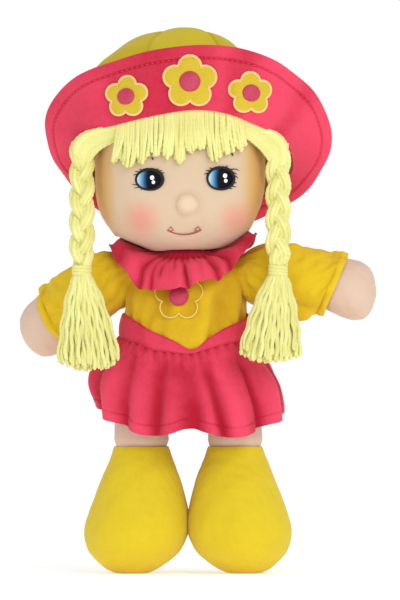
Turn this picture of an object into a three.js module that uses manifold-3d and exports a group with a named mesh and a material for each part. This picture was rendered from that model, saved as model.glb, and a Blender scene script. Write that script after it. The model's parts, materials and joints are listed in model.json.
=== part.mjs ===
// Rag doll, standing, in millimetres: +Z is up and the face looks along -Y.
// Left and right are the doll's own, so its left side is at +X.
// Every cloth piece is worked out from the stuffed piece that it lies on, with a named air gap between.

import * as THREE from "three";
import { mergeVertices } from "three/addons/utils/BufferGeometryUtils.js";
import Module from "manifold-3d";

const wasm = await Module();
wasm.setup();

// Common sizes

const seamGap = 0.3;
const clothThickness = 3;
const overrun = 40;

// Boots and legs

const bootHeight = 81;
const bootHalfWidth = 32.6;
const bootHalfDepth = 37;
const bootLean = 6;
const bootToeShift = 3;
const soleCut = 0.5;
const thighLength = 43;
const legRadius = 17.3;
const legSwellShare = 1.02;
const hipSpacing = 60;
const hipShift = 1.7;
const legsBackDegrees = 20;

// Trunk and neck

const hipHeight = bootHeight + thighLength;
const seatDrop = 13;
const trunkLength = 67;
const shoulderRise = 9;
const trunkHalfWidth = 37.5;
const trunkHalfDepth = 27;
const neckRadius = 12.5;
const neckBallRadius = 14;
const neckRise = 15;

// Arms and sleeves

const shoulderSpacing = 87;
const armLength = 78;
const armDroop = 7;
const handRadius = 18.6;
const sleeveLength = 53;
const sleeveRootRadius = 18;
const sleeveEndRadius = 19.6;
const sleeveOpeningRadius = 9;
const rightArmBelowLevelDegrees = 31;
const rightArmBackDegrees = 28;
const leftArmBelowLevelDegrees = 4;

// Head and face

const headHalfWidth = 54.5;
const headHalfDepth = 47;
const headHalfHeight = 51.5;
const headShift = -3.5;
const headForward = 4;
const chinRise = 1;
const noseRadius = 7;
const noseHeight = 5.6;
const noseShift = 4.7;
const noseDrop = 23;
const eyeWidth = 17.8;
const eyeHeight = 14;
const eyeSpacing = 45.3;
const eyeDrop = 7;
const eyeShift = 3.2;
const patchThickness = 0.9;
const mouthWidth = 21.6;
const mouthSag = 2.8;
const mouthDrop = 39;
const threadWidth = 1.2;

// Hair

const hairThickness = 5;
const fringeHalfWidth = 42;
const fringeTop = 44;
const fringeDepth = 44;
const backHairHalfHeight = 38;
const backHairForwardEdge = 20;
const plaitSpacing = 125;
const plaitRootRise = 12.5;
const plaitRootForward = 24;
const plaitLength = 77;
const plaitRadius = 8.3;
const plaitHangForward = 31;
const tieRadius = 5;
const tieBandRadius = 1.4;
const tasselLength = 60;
const tasselHalfWidth = 20;
const tasselHalfDepth = 8;
const tasselForward = 13;
const tasselInward = 5;
const swoopRadius = 6.5;

// Hat

const hatShift = 2;
const hatRise = 8;
const hatBack = 4;
const brimRise = 12.5;
const brimBack = 5;
const crownThickness = 2.6;
const crownHalfWidth = 68;
const crownHalfDepth = 52;
const crownSeamHalfHeight = 31;
const crownHeight = 78;
const crownBackLean = 21;
const crownSideLean = -7;
const brimThickness = 3.2;
const brimHalfWidth = 91;
const brimHalfDepth = 60;
const brimHalfHeight = 57;
const feltThickness = 1.6;
const flowerEdgeWidth = 1.5;
const flowerEdgeStand = 0.5;
const centreFlowerRadius = 17.4;
const sideFlowerRadius = 14.2;
const centreDomeRadius = 6.7;
const sideDomeRadius = 5.5;
const domeHeight = 3;

// Collar

const collarThickness = 1.2;
const collarHalfWidth = 47;
const collarHalfDepth = 40;
const collarFall = 21;
const collarWingRise = 9;
const collarPleatHeight = 1.8;
const collarInnerRadius = 15.5;

// Waistband and skirt

const waistRise = 42;
const waistDip = 22.5;
const waistDipShift = 4;
const waistbandHeight = 13;
const skirtThickness = 1.6;
const skirtWaistClearance = 1.5;
const hemHalfWidth = 61;
const hemHalfDepth = 45;
const hemDrop = 21;
const hemFrontDrop = 12;
const hemShift = 3;
const skirtFoldHeight = 3.4;

// Chest flower

const chestFlowerRadius = 16;
const chestFlowerStitch = 2.2;
const chestFlowerStand = 0.9;
const chestFlowerDrop = 14;
const chestFlowerShift = -4.3;
const chestDomeRadius = 6.4;
const chestDomeHeight = 3;

// Counts of sides and rows, which set how finely each form is divided

const headSides = 28;
const headRows = 13;
const trunkSides = 20;
const trunkRows = 10;
const limbSides = 16;
const sleeveRows = 3;
const bootSides = 20;
const brimSides = 40;
const brimRows = 2;
const crownRows = 4;
const collarPleats = 14;
const collarSides = collarPleats * 5;
const collarRows = 2;
const skirtFolds = 12;
const skirtSides = skirtFolds * 6;
const skirtRows = 4;
const petals = 5;
const petalPoints = 5;
const plaitSides = 10;
const plaitLobes = 7;
const domeSides = 14;
const tieSides = 10;
const tieBandSides = 5;

// Heights and places that follow from the sizes above

const trunkBottom = hipHeight - seatDrop;
const shoulderHeight = hipHeight + trunkLength;
const trunkTop = shoulderHeight + shoulderRise;
const neckPivotHeight = shoulderHeight + neckRise;
const headCentre = new THREE.Vector3(headShift, -headForward, neckPivotHeight + chinRise + headHalfHeight);
const hatCentre = new THREE.Vector3(hatShift, hatBack, headCentre.z + hatRise);
const brimCentre = hatCentre.clone().add(new THREE.Vector3(0, brimBack, brimRise));
const waistHeight = hipHeight + waistRise;

// Solids

function signedVolume(positions, triangles) {
  const corner = (index) => new THREE.Vector3().fromArray(positions, index * 3);
  let six = 0;
  for (let i = 0; i < triangles.length; i += 3) {
    const a = corner(triangles[i]);
    const b = corner(triangles[i + 1]);
    six += a.cross(b).dot(corner(triangles[i + 2]));
  }
  return six;
}

function solidOf(positions, triangles) {
  const inward = signedVolume(positions, triangles) < 0;
  const outward = inward ? triangles.slice().reverse() : triangles;
  return new wasm.Manifold(
    new wasm.Mesh({
      numProp: 3,
      vertProperties: new Float32Array(positions),
      triVerts: new Uint32Array(outward),
    }),
  );
}

function solidOfGeometry(geometry) {
  const bare = geometry.clone();
  bare.deleteAttribute("normal");
  bare.deleteAttribute("uv");
  const merged = mergeVertices(bare);
  return solidOf(Array.from(merged.attributes.position.array), Array.from(merged.index.array));
}

// A skin over rings of points. The ends are closed by fans, or joined to each other in a tube.
function skinOver(rings, endsJoined = false) {
  const around = rings[0].length;
  const positions = [];
  const triangles = [];
  for (const ring of rings) {
    for (const point of ring) {
      positions.push(point.x, point.y, point.z);
    }
  }
  const bands = endsJoined ? rings.length : rings.length - 1;
  for (let row = 0; row < bands; row += 1) {
    const here = row * around;
    const next = ((row + 1) % rings.length) * around;
    for (let k = 0; k < around; k += 1) {
      const after = (k + 1) % around;
      triangles.push(here + k, here + after, next + after);
      triangles.push(here + k, next + after, next + k);
    }
  }
  if (!endsJoined) {
    const ends = [rings[0], rings[rings.length - 1]];
    ends.forEach((ring, end) => {
      const middle = new THREE.Vector3();
      ring.forEach((point) => middle.addScaledVector(point, 1 / around));
      const centre = positions.length / 3;
      positions.push(middle.x, middle.y, middle.z);
      const first = end === 0 ? 0 : (rings.length - 1) * around;
      for (let k = 0; k < around; k += 1) {
        const after = (k + 1) % around;
        if (end === 0) {
          triangles.push(centre, first + after, first + k);
        } else {
          triangles.push(centre, first + k, first + after);
        }
      }
    });
  }
  return solidOf(positions, triangles);
}

// The largest single body of a solid, so that no crumb of a cut is left beside it.
function largest(solid) {
  const bodies = solid.decompose();
  return bodies.reduce((best, body) => (body.volume() > best.volume() ? body : best));
}

function meshOf(name, solid, colour, roughness = 0.9) {
  const result = solid.getMesh();
  const geometry = new THREE.BufferGeometry();
  const positions = new Float32Array(result.numVert * 3);
  for (let i = 0; i < result.numVert; i += 1) {
    positions.set(result.vertProperties.subarray(i * result.numProp, i * result.numProp + 3), i * 3);
  }
  geometry.setAttribute("position", new THREE.BufferAttribute(positions, 3));
  geometry.setIndex(new THREE.BufferAttribute(new Uint32Array(result.triVerts), 1));
  geometry.computeVertexNormals();
  const material = new THREE.MeshStandardMaterial({ color: colour, roughness, metalness: 0 });
  const mesh = new THREE.Mesh(geometry, material);
  mesh.name = name;
  return mesh;
}

// Forms

function signedPower(value, power) {
  return Math.sign(value) * Math.abs(value) ** power;
}

// A level ring, squarer as its exponent grows past 2. Angle zero is at the front.
function levelRing(centre, halfWidth, halfDepth, sides, exponent = 2) {
  const ring = [];
  for (let k = 0; k < sides; k += 1) {
    const angle = (2 * Math.PI * k) / sides;
    const across = halfWidth * signedPower(Math.sin(angle), 2 / exponent);
    const back = -halfDepth * signedPower(Math.cos(angle), 2 / exponent);
    ring.push(new THREE.Vector3(centre.x + across, centre.y + back, centre.z));
  }
  return ring;
}

// Smooth reading of a table of rows that start with their place.
function tableAt(table, place) {
  const last = table.length - 1;
  let i = 0;
  while (i < last - 1 && place > table[i + 1][0]) {
    i += 1;
  }
  const before = table[Math.max(i - 1, 0)];
  const low = table[i];
  const high = table[i + 1];
  const after = table[Math.min(i + 2, last)];
  const step = high[0] - low[0];
  const t = THREE.MathUtils.clamp((place - low[0]) / step, 0, 1);
  return low.slice(1).map((value, column) => {
    const k = column + 1;
    const slopeLow = ((high[k] - before[k]) / (high[0] - before[0])) * step;
    const slopeHigh = ((after[k] - low[k]) / (after[0] - low[0])) * step;
    const square = t * t;
    const cube = square * t;
    return (
      (2 * cube - 3 * square + 1) * value +
      (cube - 2 * square + t) * slopeLow +
      (3 * square - 2 * cube) * high[k] +
      (cube - square) * slopeHigh
    );
  });
}

// A stuffed tube along a path of points, with a radius at each, square to the path.
function stuffedTube(path, radii, sides, flatten = 1) {
  const curve = new THREE.CatmullRomCurve3(path);
  const rows = radii.length - 1;
  const rings = radii.map((radius, row) => {
    const at = row / rows;
    const centre = curve.getPoint(at);
    const along = curve.getTangent(at);
    const level = new THREE.Vector3(0, 1, 0).cross(along).normalize();
    const deep = along.clone().cross(level).normalize();
    const ring = [];
    for (let k = 0; k < sides; k += 1) {
      const angle = (2 * Math.PI * k) / sides;
      const point = centre.clone();
      point.addScaledVector(level, radius * Math.cos(angle));
      point.addScaledVector(deep, radius * flatten * Math.sin(angle));
      ring.push(point);
    }
    return ring;
  });
  return skinOver(rings);
}

// A faceted ball, with its corners on the round of the radius.
function ball(centre, radius, sides = limbSides) {
  const geometry = new THREE.SphereGeometry(radius, sides, Math.round(sides / 2));
  geometry.translate(centre.x, centre.y, centre.z);
  return solidOfGeometry(geometry);
}

// A room whose flat facets all clear a ball of the radius.
function roundRoom(centre, radius, sides = limbSides) {
  return ball(centre, radius / Math.cos(Math.PI / sides) ** 2, sides);
}

function block(minimum, maximum) {
  const size = maximum.clone().sub(minimum);
  const geometry = new THREE.BoxGeometry(size.x, size.y, size.z);
  const middle = minimum.clone().add(maximum).multiplyScalar(1 / 2);
  geometry.translate(middle.x, middle.y, middle.z);
  return solidOfGeometry(geometry);
}

// A prism of an outline drawn in X and Z, from one depth to another along Y.
function prismAlongY(outline, from, to) {
  const shape = new THREE.Shape(outline.map(([x, z]) => new THREE.Vector2(x, z)));
  const geometry = new THREE.ExtrudeGeometry(shape, { depth: to - from, bevelEnabled: false });
  geometry.rotateX(Math.PI / 2);
  geometry.translate(0, to, 0);
  return solidOfGeometry(geometry);
}

// Head: wide cheeks, rounder from front to back than from side to side.

const headExponent = 2.75;
const headRoundExponent = 2.25;

function headSolid(offset) {
  const rings = [];
  for (let row = 1; row < headRows; row += 1) {
    const tilt = Math.PI * (row / headRows - 1 / 2);
    const rise = signedPower(Math.sin(tilt), 2 / headExponent);
    const spread = Math.cos(tilt) ** (2 / headExponent);
    const centre = headCentre.clone();
    centre.z += (headHalfHeight + offset) * rise;
    rings.push(
      levelRing(
        centre,
        (headHalfWidth + offset) * spread,
        (headHalfDepth + offset) * spread,
        headSides,
        headRoundExponent,
      ),
    );
  }
  return skinOver(rings);
}

const neckPivot = new THREE.Vector3(0, 0, neckPivotHeight);

function makeHead() {
  return headSolid(0).subtract(roundRoom(neckPivot, neckBallRadius + seamGap, trunkSides));
}

// A patch of an outline that lies on the face, between two heights over the skin.
function facePatch(outline, low, high) {
  const front = headCentre.y - headHalfDepth - overrun;
  const prism = prismAlongY(outline, front, headCentre.y);
  return largest(headSolid(high).subtract(headSolid(low)).intersect(prism));
}

function ovalOutline(centreX, centreZ, halfWidth, halfHeight, points) {
  const outline = [];
  for (let k = 0; k < points; k += 1) {
    const angle = (2 * Math.PI * k) / points;
    outline.push([centreX + halfWidth * Math.cos(angle), centreZ + halfHeight * Math.sin(angle)]);
  }
  return outline;
}

const faceCentreX = headCentre.x + eyeShift;

function makeEye(side) {
  const outline = ovalOutline(
    faceCentreX + (side * eyeSpacing) / 2,
    headCentre.z - eyeDrop,
    eyeWidth / 2,
    eyeHeight / 2,
    domeSides,
  );
  return facePatch(outline, seamGap, seamGap + patchThickness);
}

function makeNose() {
  const centre = headCentre.clone();
  centre.add(new THREE.Vector3(noseShift, -headHalfDepth, -noseDrop));
  const geometry = new THREE.SphereGeometry(noseRadius, domeSides, Math.round(domeSides / 2));
  geometry.rotateX(Math.PI / 2);
  geometry.scale(1, noseHeight / noseRadius, 1);
  geometry.translate(centre.x, centre.y + noseSeat(), centre.z);
  return largest(solidOfGeometry(geometry).subtract(headSolid(seamGap)));
}

// How far the face lies behind its foremost point at the height of the nose.
function noseSeat() {
  const rise = noseDrop / headHalfHeight;
  const spread = (1 - rise ** headExponent) ** (1 / headExponent);
  return headHalfDepth * (1 - spread);
}

const mouthSteps = 10;

function makeMouth() {
  const upper = [];
  const lower = [];
  for (let k = 0; k <= mouthSteps; k += 1) {
    const share = (2 * k) / mouthSteps - 1;
    const x = faceCentreX + (share * mouthWidth) / 2;
    const z = headCentre.z - mouthDrop - mouthSag * (1 - share * share);
    upper.push([x, z + threadWidth / 2]);
    lower.push([x, z - threadWidth / 2]);
  }
  return facePatch(upper.concat(lower.reverse()), seamGap, seamGap + threadWidth);
}

// Hat: the crown is a dome on a slanted seam ring, and the brim leaves the same ring.

// Places round the seam and the rim, from the front round the doll's left side to the back and on.
// Each is given as shares of the half width, the half depth and the half height.
const seamShares = [
  [0, -1, 0.99],
  [0.36, -0.98, 0.93],
  [0.66, -0.84, 0.66],
  [0.89, -0.52, 0.38],
  [0.98, -0.1, -0.02],
  [0.94, 0.28, -0.42],
  [0.74, 0.64, -0.75],
  [0.4, 0.92, -0.95],
  [0, 1, -1],
  [-0.4, 0.92, -0.95],
  [-0.76, 0.64, -0.75],
  [-1, 0.28, -0.4],
  [-1.07, -0.1, 0.05],
  [-0.97, -0.5, 0.47],
  [-0.72, -0.84, 0.66],
  [-0.38, -0.98, 0.85],
];
const rimShares = [
  [0, -0.9, 1],
  [0.36, -0.87, 0.98],
  [0.69, -0.66, 0.76],
  [0.91, -0.4, 0.42],
  [0.99, -0.1, -0.05],
  [0.89, 0.14, -0.5],
  [0.7, 0.48, -0.73],
  [0.36, 0.9, -0.95],
  [0, 1.06, -1],
  [-0.36, 0.9, -0.96],
  [-0.66, 0.44, -0.8],
  [-0.88, 0.12, -0.42],
  [-0.99, -0.12, 0],
  [-0.94, -0.34, 0.42],
  [-0.7, -0.62, 0.72],
  [-0.36, -0.85, 0.92],
];

function stationLoop(shares, centre, halfWidth, halfDepth, halfHeight) {
  const points = shares.map(([across, back, up]) => {
    const point = new THREE.Vector3(across * halfWidth, back * halfDepth, up * halfHeight);
    return point.add(centre);
  });
  return new THREE.CatmullRomCurve3(points, true);
}

const seamLoop = stationLoop(seamShares, hatCentre, crownHalfWidth, crownHalfDepth, crownSeamHalfHeight);
const rimLoop = stationLoop(rimShares, brimCentre, brimHalfWidth, brimHalfDepth, brimHalfHeight);

function crownRing(lift, inset) {
  const angle = (lift * Math.PI) / 2;
  const ring = [];
  for (let k = 0; k < brimSides; k += 1) {
    const base = seamLoop.getPoint(k / brimSides).sub(hatCentre);
    const shrunk = base.clone().multiplyScalar(1 - inset / base.length());
    const apex = new THREE.Vector3(crownSideLean, crownBackLean, crownHeight);
    apex.multiplyScalar(1 - inset / crownHeight);
    const point = hatCentre.clone();
    point.addScaledVector(shrunk, Math.cos(angle));
    point.addScaledVector(apex, Math.sin(angle));
    ring.push(point);
  }
  return ring;
}

const crownTopShare = 0.96;

function crownRings(inset) {
  const rings = [];
  for (let row = 0; row <= crownRows; row += 1) {
    rings.push(crownRing((crownTopShare * row) / crownRows, inset));
  }
  return rings;
}

function makeCrown() {
  const outer = crownRings(0).reverse();
  const inner = crownRings(crownThickness);
  return skinOver(outer.concat(inner));
}

// The crown with its hollow filled, grown by the air gap, for cutting what lies under it.
function filledCrown() {
  return skinOver(crownRings(-seamGap));
}

// A point of the brim: round is from 0 to 1 round the loop, out is 0 at the seam and 1 at the rim.
function brimPoint(round, out) {
  const seam = seamLoop.getPoint(round);
  const away = seam.clone().sub(hatCentre).setLength(seamGap);
  seam.add(away);
  return seam.lerp(rimLoop.getPoint(round), out);
}

const smallShare = 0.01;

// The way that the brim's worn face looks, which is forward at the front and down at the back.
function brimNormal(round, out) {
  const before = brimPoint((round + 1 - smallShare) % 1, out);
  const along = brimPoint((round + smallShare) % 1, out).sub(before);
  const outward = brimPoint(round, 1).sub(brimPoint(round, 0));
  return along.cross(outward).normalize();
}

function brimRing(out, offset) {
  const ring = [];
  for (let k = 0; k < brimSides; k += 1) {
    const round = k / brimSides;
    ring.push(brimPoint(round, out).addScaledVector(brimNormal(round, out), offset));
  }
  return ring;
}

function brimLayer(low, high, spareShare = 0) {
  const outAt = (row) => THREE.MathUtils.lerp(-spareShare, 1 + spareShare, row / brimRows);
  const rings = [];
  for (let row = 0; row <= brimRows; row += 1) {
    rings.push(brimRing(outAt(row), high));
  }
  for (let row = brimRows; row >= 0; row -= 1) {
    rings.push(brimRing(outAt(row), low));
  }
  return skinOver(rings, true);
}

// The room that the brim fills, with the air gap on both faces.
function brimRoom() {
  return brimLayer(-seamGap, brimThickness + seamGap, smallShare);
}

function makeBrim() {
  return largest(brimLayer(0, brimThickness).subtract(filledCrown()));
}

// Flowers: five round petals, one pointing up.

const petalNotchShare = 0.3;
const petalRoundness = 0.75;

function flowerOutline(radius) {
  const outline = [];
  const points = petals * petalPoints;
  for (let k = 0; k < points; k += 1) {
    const angle = (2 * Math.PI * k) / points;
    const lobe = Math.abs(Math.cos((petals * angle) / 2)) ** petalRoundness;
    const reach = radius * (1 - petalNotchShare * (1 - lobe));
    outline.push(new THREE.Vector2(reach * Math.sin(angle), reach * Math.cos(angle)));
  }
  return outline;
}

function flatPrism(outline, hole, low, high) {
  const shape = new THREE.Shape(outline);
  if (hole) {
    shape.holes.push(new THREE.Path(hole));
  }
  const geometry = new THREE.ExtrudeGeometry(shape, { depth: high - low, bevelEnabled: false });
  geometry.translate(0, 0, low);
  return geometry;
}

// Where each hat flower sits: round the brim, out from the seam, and its sizes.
const hatFlowers = {
  centre: { roundShare: 0.002, outShare: 0.4, radius: centreFlowerRadius, dome: centreDomeRadius },
  left: { roundShare: 0.088, outShare: 0.35, radius: sideFlowerRadius, dome: sideDomeRadius },
  right: { roundShare: 0.915, outShare: 0.34, radius: sideFlowerRadius, dome: sideDomeRadius },
};

function flowerFrame(flower) {
  const centre = brimPoint(flower.roundShare, flower.outShare);
  const normal = brimNormal(flower.roundShare, flower.outShare);
  const up = new THREE.Vector3(0, 0, 1).addScaledVector(normal, -normal.z).normalize();
  const across = up.clone().cross(normal).normalize();
  const frame = new THREE.Matrix4().makeBasis(across, up, normal);
  return frame.setPosition(centre);
}

function onBrim(flower, outline, hole, low, high) {
  const prism = flatPrism(outline, hole, -overrun / 2, overrun / 2);
  prism.applyMatrix4(flowerFrame(flower));
  return largest(solidOfGeometry(prism).intersect(brimLayer(low, high)));
}

const feltLow = brimThickness + 2 * seamGap;

function makeFlowerFelt(flower) {
  const outline = flowerOutline(flower.radius - flowerEdgeWidth - seamGap);
  return onBrim(flower, outline, null, feltLow, feltLow + feltThickness);
}

function makeFlowerEdge(flower) {
  const outline = flowerOutline(flower.radius);
  const hole = flowerOutline(flower.radius - flowerEdgeWidth).reverse();
  return onBrim(flower, outline, hole, feltLow, feltLow + feltThickness + flowerEdgeStand);
}

function makeFlowerDome(flower) {
  const geometry = new THREE.SphereGeometry(flower.dome, domeSides, Math.round(domeSides / 2));
  geometry.rotateX(Math.PI / 2);
  geometry.scale(1, 1, domeHeight / flower.dome);
  geometry.translate(0, 0, feltLow + feltThickness);
  geometry.applyMatrix4(flowerFrame(flower));
  const below = brimLayer(-overrun / 4, feltLow + feltThickness + seamGap);
  return largest(solidOfGeometry(geometry).subtract(below));
}

// Trunk: rows of height, half width, half depth and place of the middle, as shares.

const trunkShares = [
  [0, 0.3, 0.3, 0],
  [0.04, 0.66, 0.62, 0],
  [0.12, 0.92, 0.9, 0.02],
  [0.28, 1, 1, 0.04],
  [0.45, 0.99, 1, 0.04],
  [0.65, 0.93, 0.9, 0.02],
  [0.8, 0.92, 0.8, 0],
  [0.9, 0.88, 0.68, 0],
  [0.97, 0.68, 0.54, 0],
  [1, 0.42, 0.42, 0],
];
const trunkHeight = trunkTop - trunkBottom;
const trunkExponent = 2.3;

function trunkSizes(height) {
  const share = THREE.MathUtils.clamp((height - trunkBottom) / trunkHeight, 0, 1);
  const [width, depth, forward] = tableAt(trunkShares, share);
  const halfWidth = width * trunkHalfWidth;
  const halfDepth = depth * trunkHalfDepth;
  return { halfWidth, halfDepth, y: -forward * trunkHalfDepth };
}

function trunkSolid(offset) {
  const rings = [];
  for (let row = 0; row <= trunkRows; row += 1) {
    const share = (1 - Math.cos((Math.PI * row) / trunkRows)) / 2;
    const height = trunkBottom + share * trunkHeight;
    const sizes = trunkSizes(height);
    const lifted = height + offset * (2 * share - 1);
    const centre = new THREE.Vector3(0, sizes.y, lifted);
    rings.push(
      levelRing(centre, sizes.halfWidth + offset, sizes.halfDepth + offset, trunkSides, trunkExponent),
    );
  }
  return skinOver(rings);
}

function neckSolid(offset) {
  const root = new THREE.Vector3(0, 0, shoulderHeight);
  const radius = neckRadius + offset;
  const rings = [root, neckPivot].map((centre) => levelRing(centre, radius, radius, trunkSides));
  return skinOver(rings).add(ball(neckPivot, neckBallRadius + offset, trunkSides));
}

const shoulderPoint = (side) => new THREE.Vector3((side * shoulderSpacing) / 2, 0, shoulderHeight);
const hipPoint = (side) => new THREE.Vector3(hipShift + (side * hipSpacing) / 2, 0, hipHeight);

// The room that a leg sweeps: a ball at the hip, a block in front and below, and one turned backwards.
function legRoom(side) {
  const hip = hipPoint(side);
  const reach = legSwellShare * legRadius + seamGap;
  const lowFront = new THREE.Vector3(-reach, -trunkHalfDepth - overrun, -overrun);
  const highFront = new THREE.Vector3(reach, 0, reach);
  const front = block(lowFront, highFront);
  const straight = block(new THREE.Vector3(-reach, -reach, -overrun), new THREE.Vector3(reach, reach, 0));
  const back = straight.rotate([legsBackDegrees, 0, 0]);
  const round = roundRoom(new THREE.Vector3(), reach);
  return front.add(straight).add(back).add(round).translate([hip.x, hip.y, hip.z]);
}

// The room that a sleeve fills where the arm rests, and the socket that its root turns in.
function armRoom(side) {
  const socket = roundRoom(new THREE.Vector3(), sleeveRootRadius + seamGap, trunkSides);
  return placedArm(socket.add(sleeveOutside(seamGap)), side);
}

function makeTorso() {
  let body = trunkSolid(0).add(neckSolid(0));
  for (const side of [-1, 1]) {
    body = body.subtract(legRoom(side)).subtract(armRoom(side));
  }
  return largest(body);
}

// The waist line dips to a point at the front, and stays level at the sides and back.
// This is all that lies under it.
function underWaist(drop) {
  const reach = trunkHalfWidth + overrun;
  const side = waistHeight - drop;
  const floor = trunkBottom - overrun;
  const edge = trunkHalfWidth + clothThickness;
  const outline = [
    [-reach, floor],
    [reach, floor],
    [reach, side],
    [edge, side],
    [waistDipShift, side - waistDip],
    [-edge, side],
    [-reach, side],
  ];
  const front = prismAlongY(outline, -trunkHalfDepth - overrun, 0);
  const behind = new THREE.Vector3(reach, trunkHalfDepth + overrun, side);
  const back = block(new THREE.Vector3(-reach, 0, floor), behind);
  return front.add(back);
}

function waistDrop(x, y) {
  const edge = trunkHalfWidth + clothThickness;
  const span = x < waistDipShift ? edge + waistDipShift : edge - waistDipShift;
  const share = 1 - Math.min(Math.abs(x - waistDipShift) / span, 1);
  return y < 0 ? waistDip * share : 0;
}

function blouseLayer(low, high) {
  return trunkSolid(high).subtract(trunkSolid(low));
}

function makeBlouse() {
  let cloth = blouseLayer(seamGap, seamGap + clothThickness);
  cloth = cloth.subtract(underWaist(0)).subtract(neckSolid(seamGap));
  for (const side of [-1, 1]) {
    cloth = cloth.subtract(armRoom(side));
  }
  return largest(cloth);
}

function makeWaistband() {
  let cloth = blouseLayer(seamGap, 2 * seamGap + clothThickness);
  cloth = cloth.intersect(underWaist(seamGap)).subtract(underWaist(seamGap + waistbandHeight));
  for (const side of [-1, 1]) {
    cloth = cloth.subtract(legRoom(side));
  }
  return largest(cloth);
}

// Chest flower, on the blouse

const chestHeight = shoulderHeight - chestFlowerDrop;
const chestLow = 2 * seamGap + clothThickness;

function onChest(outline, hole, low, high) {
  const prism = flatPrism(outline, hole, 0, overrun);
  prism.rotateX(Math.PI / 2);
  prism.translate(chestFlowerShift, 0, chestHeight);
  return largest(solidOfGeometry(prism).intersect(blouseLayer(low, high)));
}

function makeChestOutline() {
  const outline = flowerOutline(chestFlowerRadius);
  const hole = flowerOutline(chestFlowerRadius - chestFlowerStitch).reverse();
  return onChest(outline, hole, chestLow, chestLow + chestFlowerStand);
}

function makeChestCentre() {
  const round = ovalOutline(0, 0, chestDomeRadius, chestDomeRadius, domeSides);
  const outline = round.map(([x, y]) => new THREE.Vector2(x, y));
  return onChest(outline, null, chestLow, chestLow + chestDomeHeight);
}

// Arms and sleeves, drawn pointing along +X from the shoulder and then turned to their place.

// Place along the arm and radius, as shares of the arm's length and the hand's radius.
const armShares = [
  [0, 0.785],
  [0.2, 0.8],
  [0.45, 0.86],
  [0.7, 0.97],
  [0.84, 0.99],
  [0.93, 0.82],
  [0.975, 0.57],
  [0.998, 0.2],
];

function armCentre(along) {
  return new THREE.Vector3(armLength * along, 0, -armDroop * along * along);
}

function makeArmForm() {
  const rings = [];
  for (const [along, share] of armShares) {
    rings.push(uprightRing(armCentre(along), share * handRadius));
  }
  const root = new THREE.Vector3();
  const plug = plugForm(sleeveOpeningRadius - seamGap, sleeveRootRadius);
  return skinOver(rings).add(ball(root, armShares[0][1] * handRadius)).add(plug);
}

// A ring square to X, round a centre.
function uprightRing(centre, radius) {
  const ring = [];
  for (let k = 0; k < limbSides; k += 1) {
    const angle = (2 * Math.PI * k) / limbSides;
    const y = centre.y + radius * Math.cos(angle);
    ring.push(new THREE.Vector3(centre.x, y, centre.z + radius * Math.sin(angle)));
  }
  return ring;
}

// The stub at the arm's root that reaches the trunk through the sleeve, ending on a ball round the shoulder.
function plugForm(radius, reach) {
  const start = new THREE.Vector3(-reach - overrun, 0, 0);
  const rings = [uprightRing(start, radius), uprightRing(new THREE.Vector3(), radius)];
  return skinOver(rings).intersect(ball(new THREE.Vector3(), reach, trunkSides));
}

function sleeveOutside(offset) {
  const endShare = sleeveLength / armLength;
  const rings = [];
  for (let row = 0; row <= sleeveRows; row += 1) {
    const share = (endShare * row) / sleeveRows;
    const radius = THREE.MathUtils.lerp(sleeveRootRadius, sleeveEndRadius, row / sleeveRows);
    rings.push(uprightRing(armCentre(share), radius + offset));
  }
  return skinOver(rings);
}

function makeSleeveForm() {
  const outside = sleeveOutside(0).add(ball(new THREE.Vector3(), sleeveRootRadius, trunkSides));
  const hollow = [uprightRing(new THREE.Vector3(-sleeveRootRadius - overrun, 0, 0), sleeveOpeningRadius)];
  hollow.push(uprightRing(new THREE.Vector3(), sleeveOpeningRadius));
  const inner = [];
  for (const [along, share] of armShares) {
    inner.push(uprightRing(armCentre(along), share * handRadius + seamGap));
  }
  const limb = skinOver(inner).add(ball(new THREE.Vector3(), armShares[0][1] * handRadius + seamGap));
  return largest(outside.subtract(limb).subtract(skinOver(hollow)));
}

function placedArm(form, side) {
  const below = side < 0 ? rightArmBelowLevelDegrees : leftArmBelowLevelDegrees;
  const back = side < 0 ? rightArmBackDegrees : 0;
  const shoulder = shoulderPoint(side);
  const facing = side < 0 ? form.mirror([1, 0, 0]) : form;
  return facing
    .rotate([0, 0, side * back])
    .rotate([0, side * below, 0])
    .translate([shoulder.x, shoulder.y, shoulder.z]);
}

// Legs and boots

const legShares = [1, legSwellShare, legSwellShare, 1];

function makeLeg(side) {
  const hip = hipPoint(side);
  const rings = legShares.map((share, row) => {
    const down = (row / (legShares.length - 1)) * (thighLength - seamGap);
    const centre = hip.clone();
    centre.z -= down;
    return levelRing(centre, share * legRadius, share * legRadius, limbSides);
  });
  return skinOver(rings).add(ball(hip, legRadius));
}

// Boot rows of height, half width, half depth, lean and toe shift, as shares.
const bootShares = [
  [0, 0.3, 0.34, 1, 1],
  [0.02, 0.46, 0.5, 1, 1],
  [0.055, 0.6, 0.64, 0.97, 1],
  [0.11, 0.76, 0.78, 0.9, 1],
  [0.2, 0.92, 0.93, 0.75, 1],
  [0.33, 1, 1, 0.5, 0.9],
  [0.47, 0.97, 0.95, 0.3, 0.7],
  [0.62, 0.87, 0.82, 0.15, 0.4],
  [0.78, 0.72, 0.66, 0.05, 0.15],
  [0.92, 0.58, 0.51, 0, 0],
  [1, 0.53, 0.468, 0, 0],
];

function makeBoot(side) {
  const hip = hipPoint(side);
  const height = bootHeight + soleCut;
  const rings = bootShares.map(([up, width, depth, lean, toe]) => {
    const x = hip.x + side * lean * bootLean;
    const centre = new THREE.Vector3(x, -toe * bootToeShift, up * height - soleCut);
    return levelRing(centre, width * bootHalfWidth, depth * bootHalfDepth, bootSides);
  });
  const reach = hipSpacing + overrun;
  const ground = block(new THREE.Vector3(-reach, -reach, -overrun), new THREE.Vector3(reach, reach, 0));
  return skinOver(rings).subtract(ground);
}

// Hair

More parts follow.
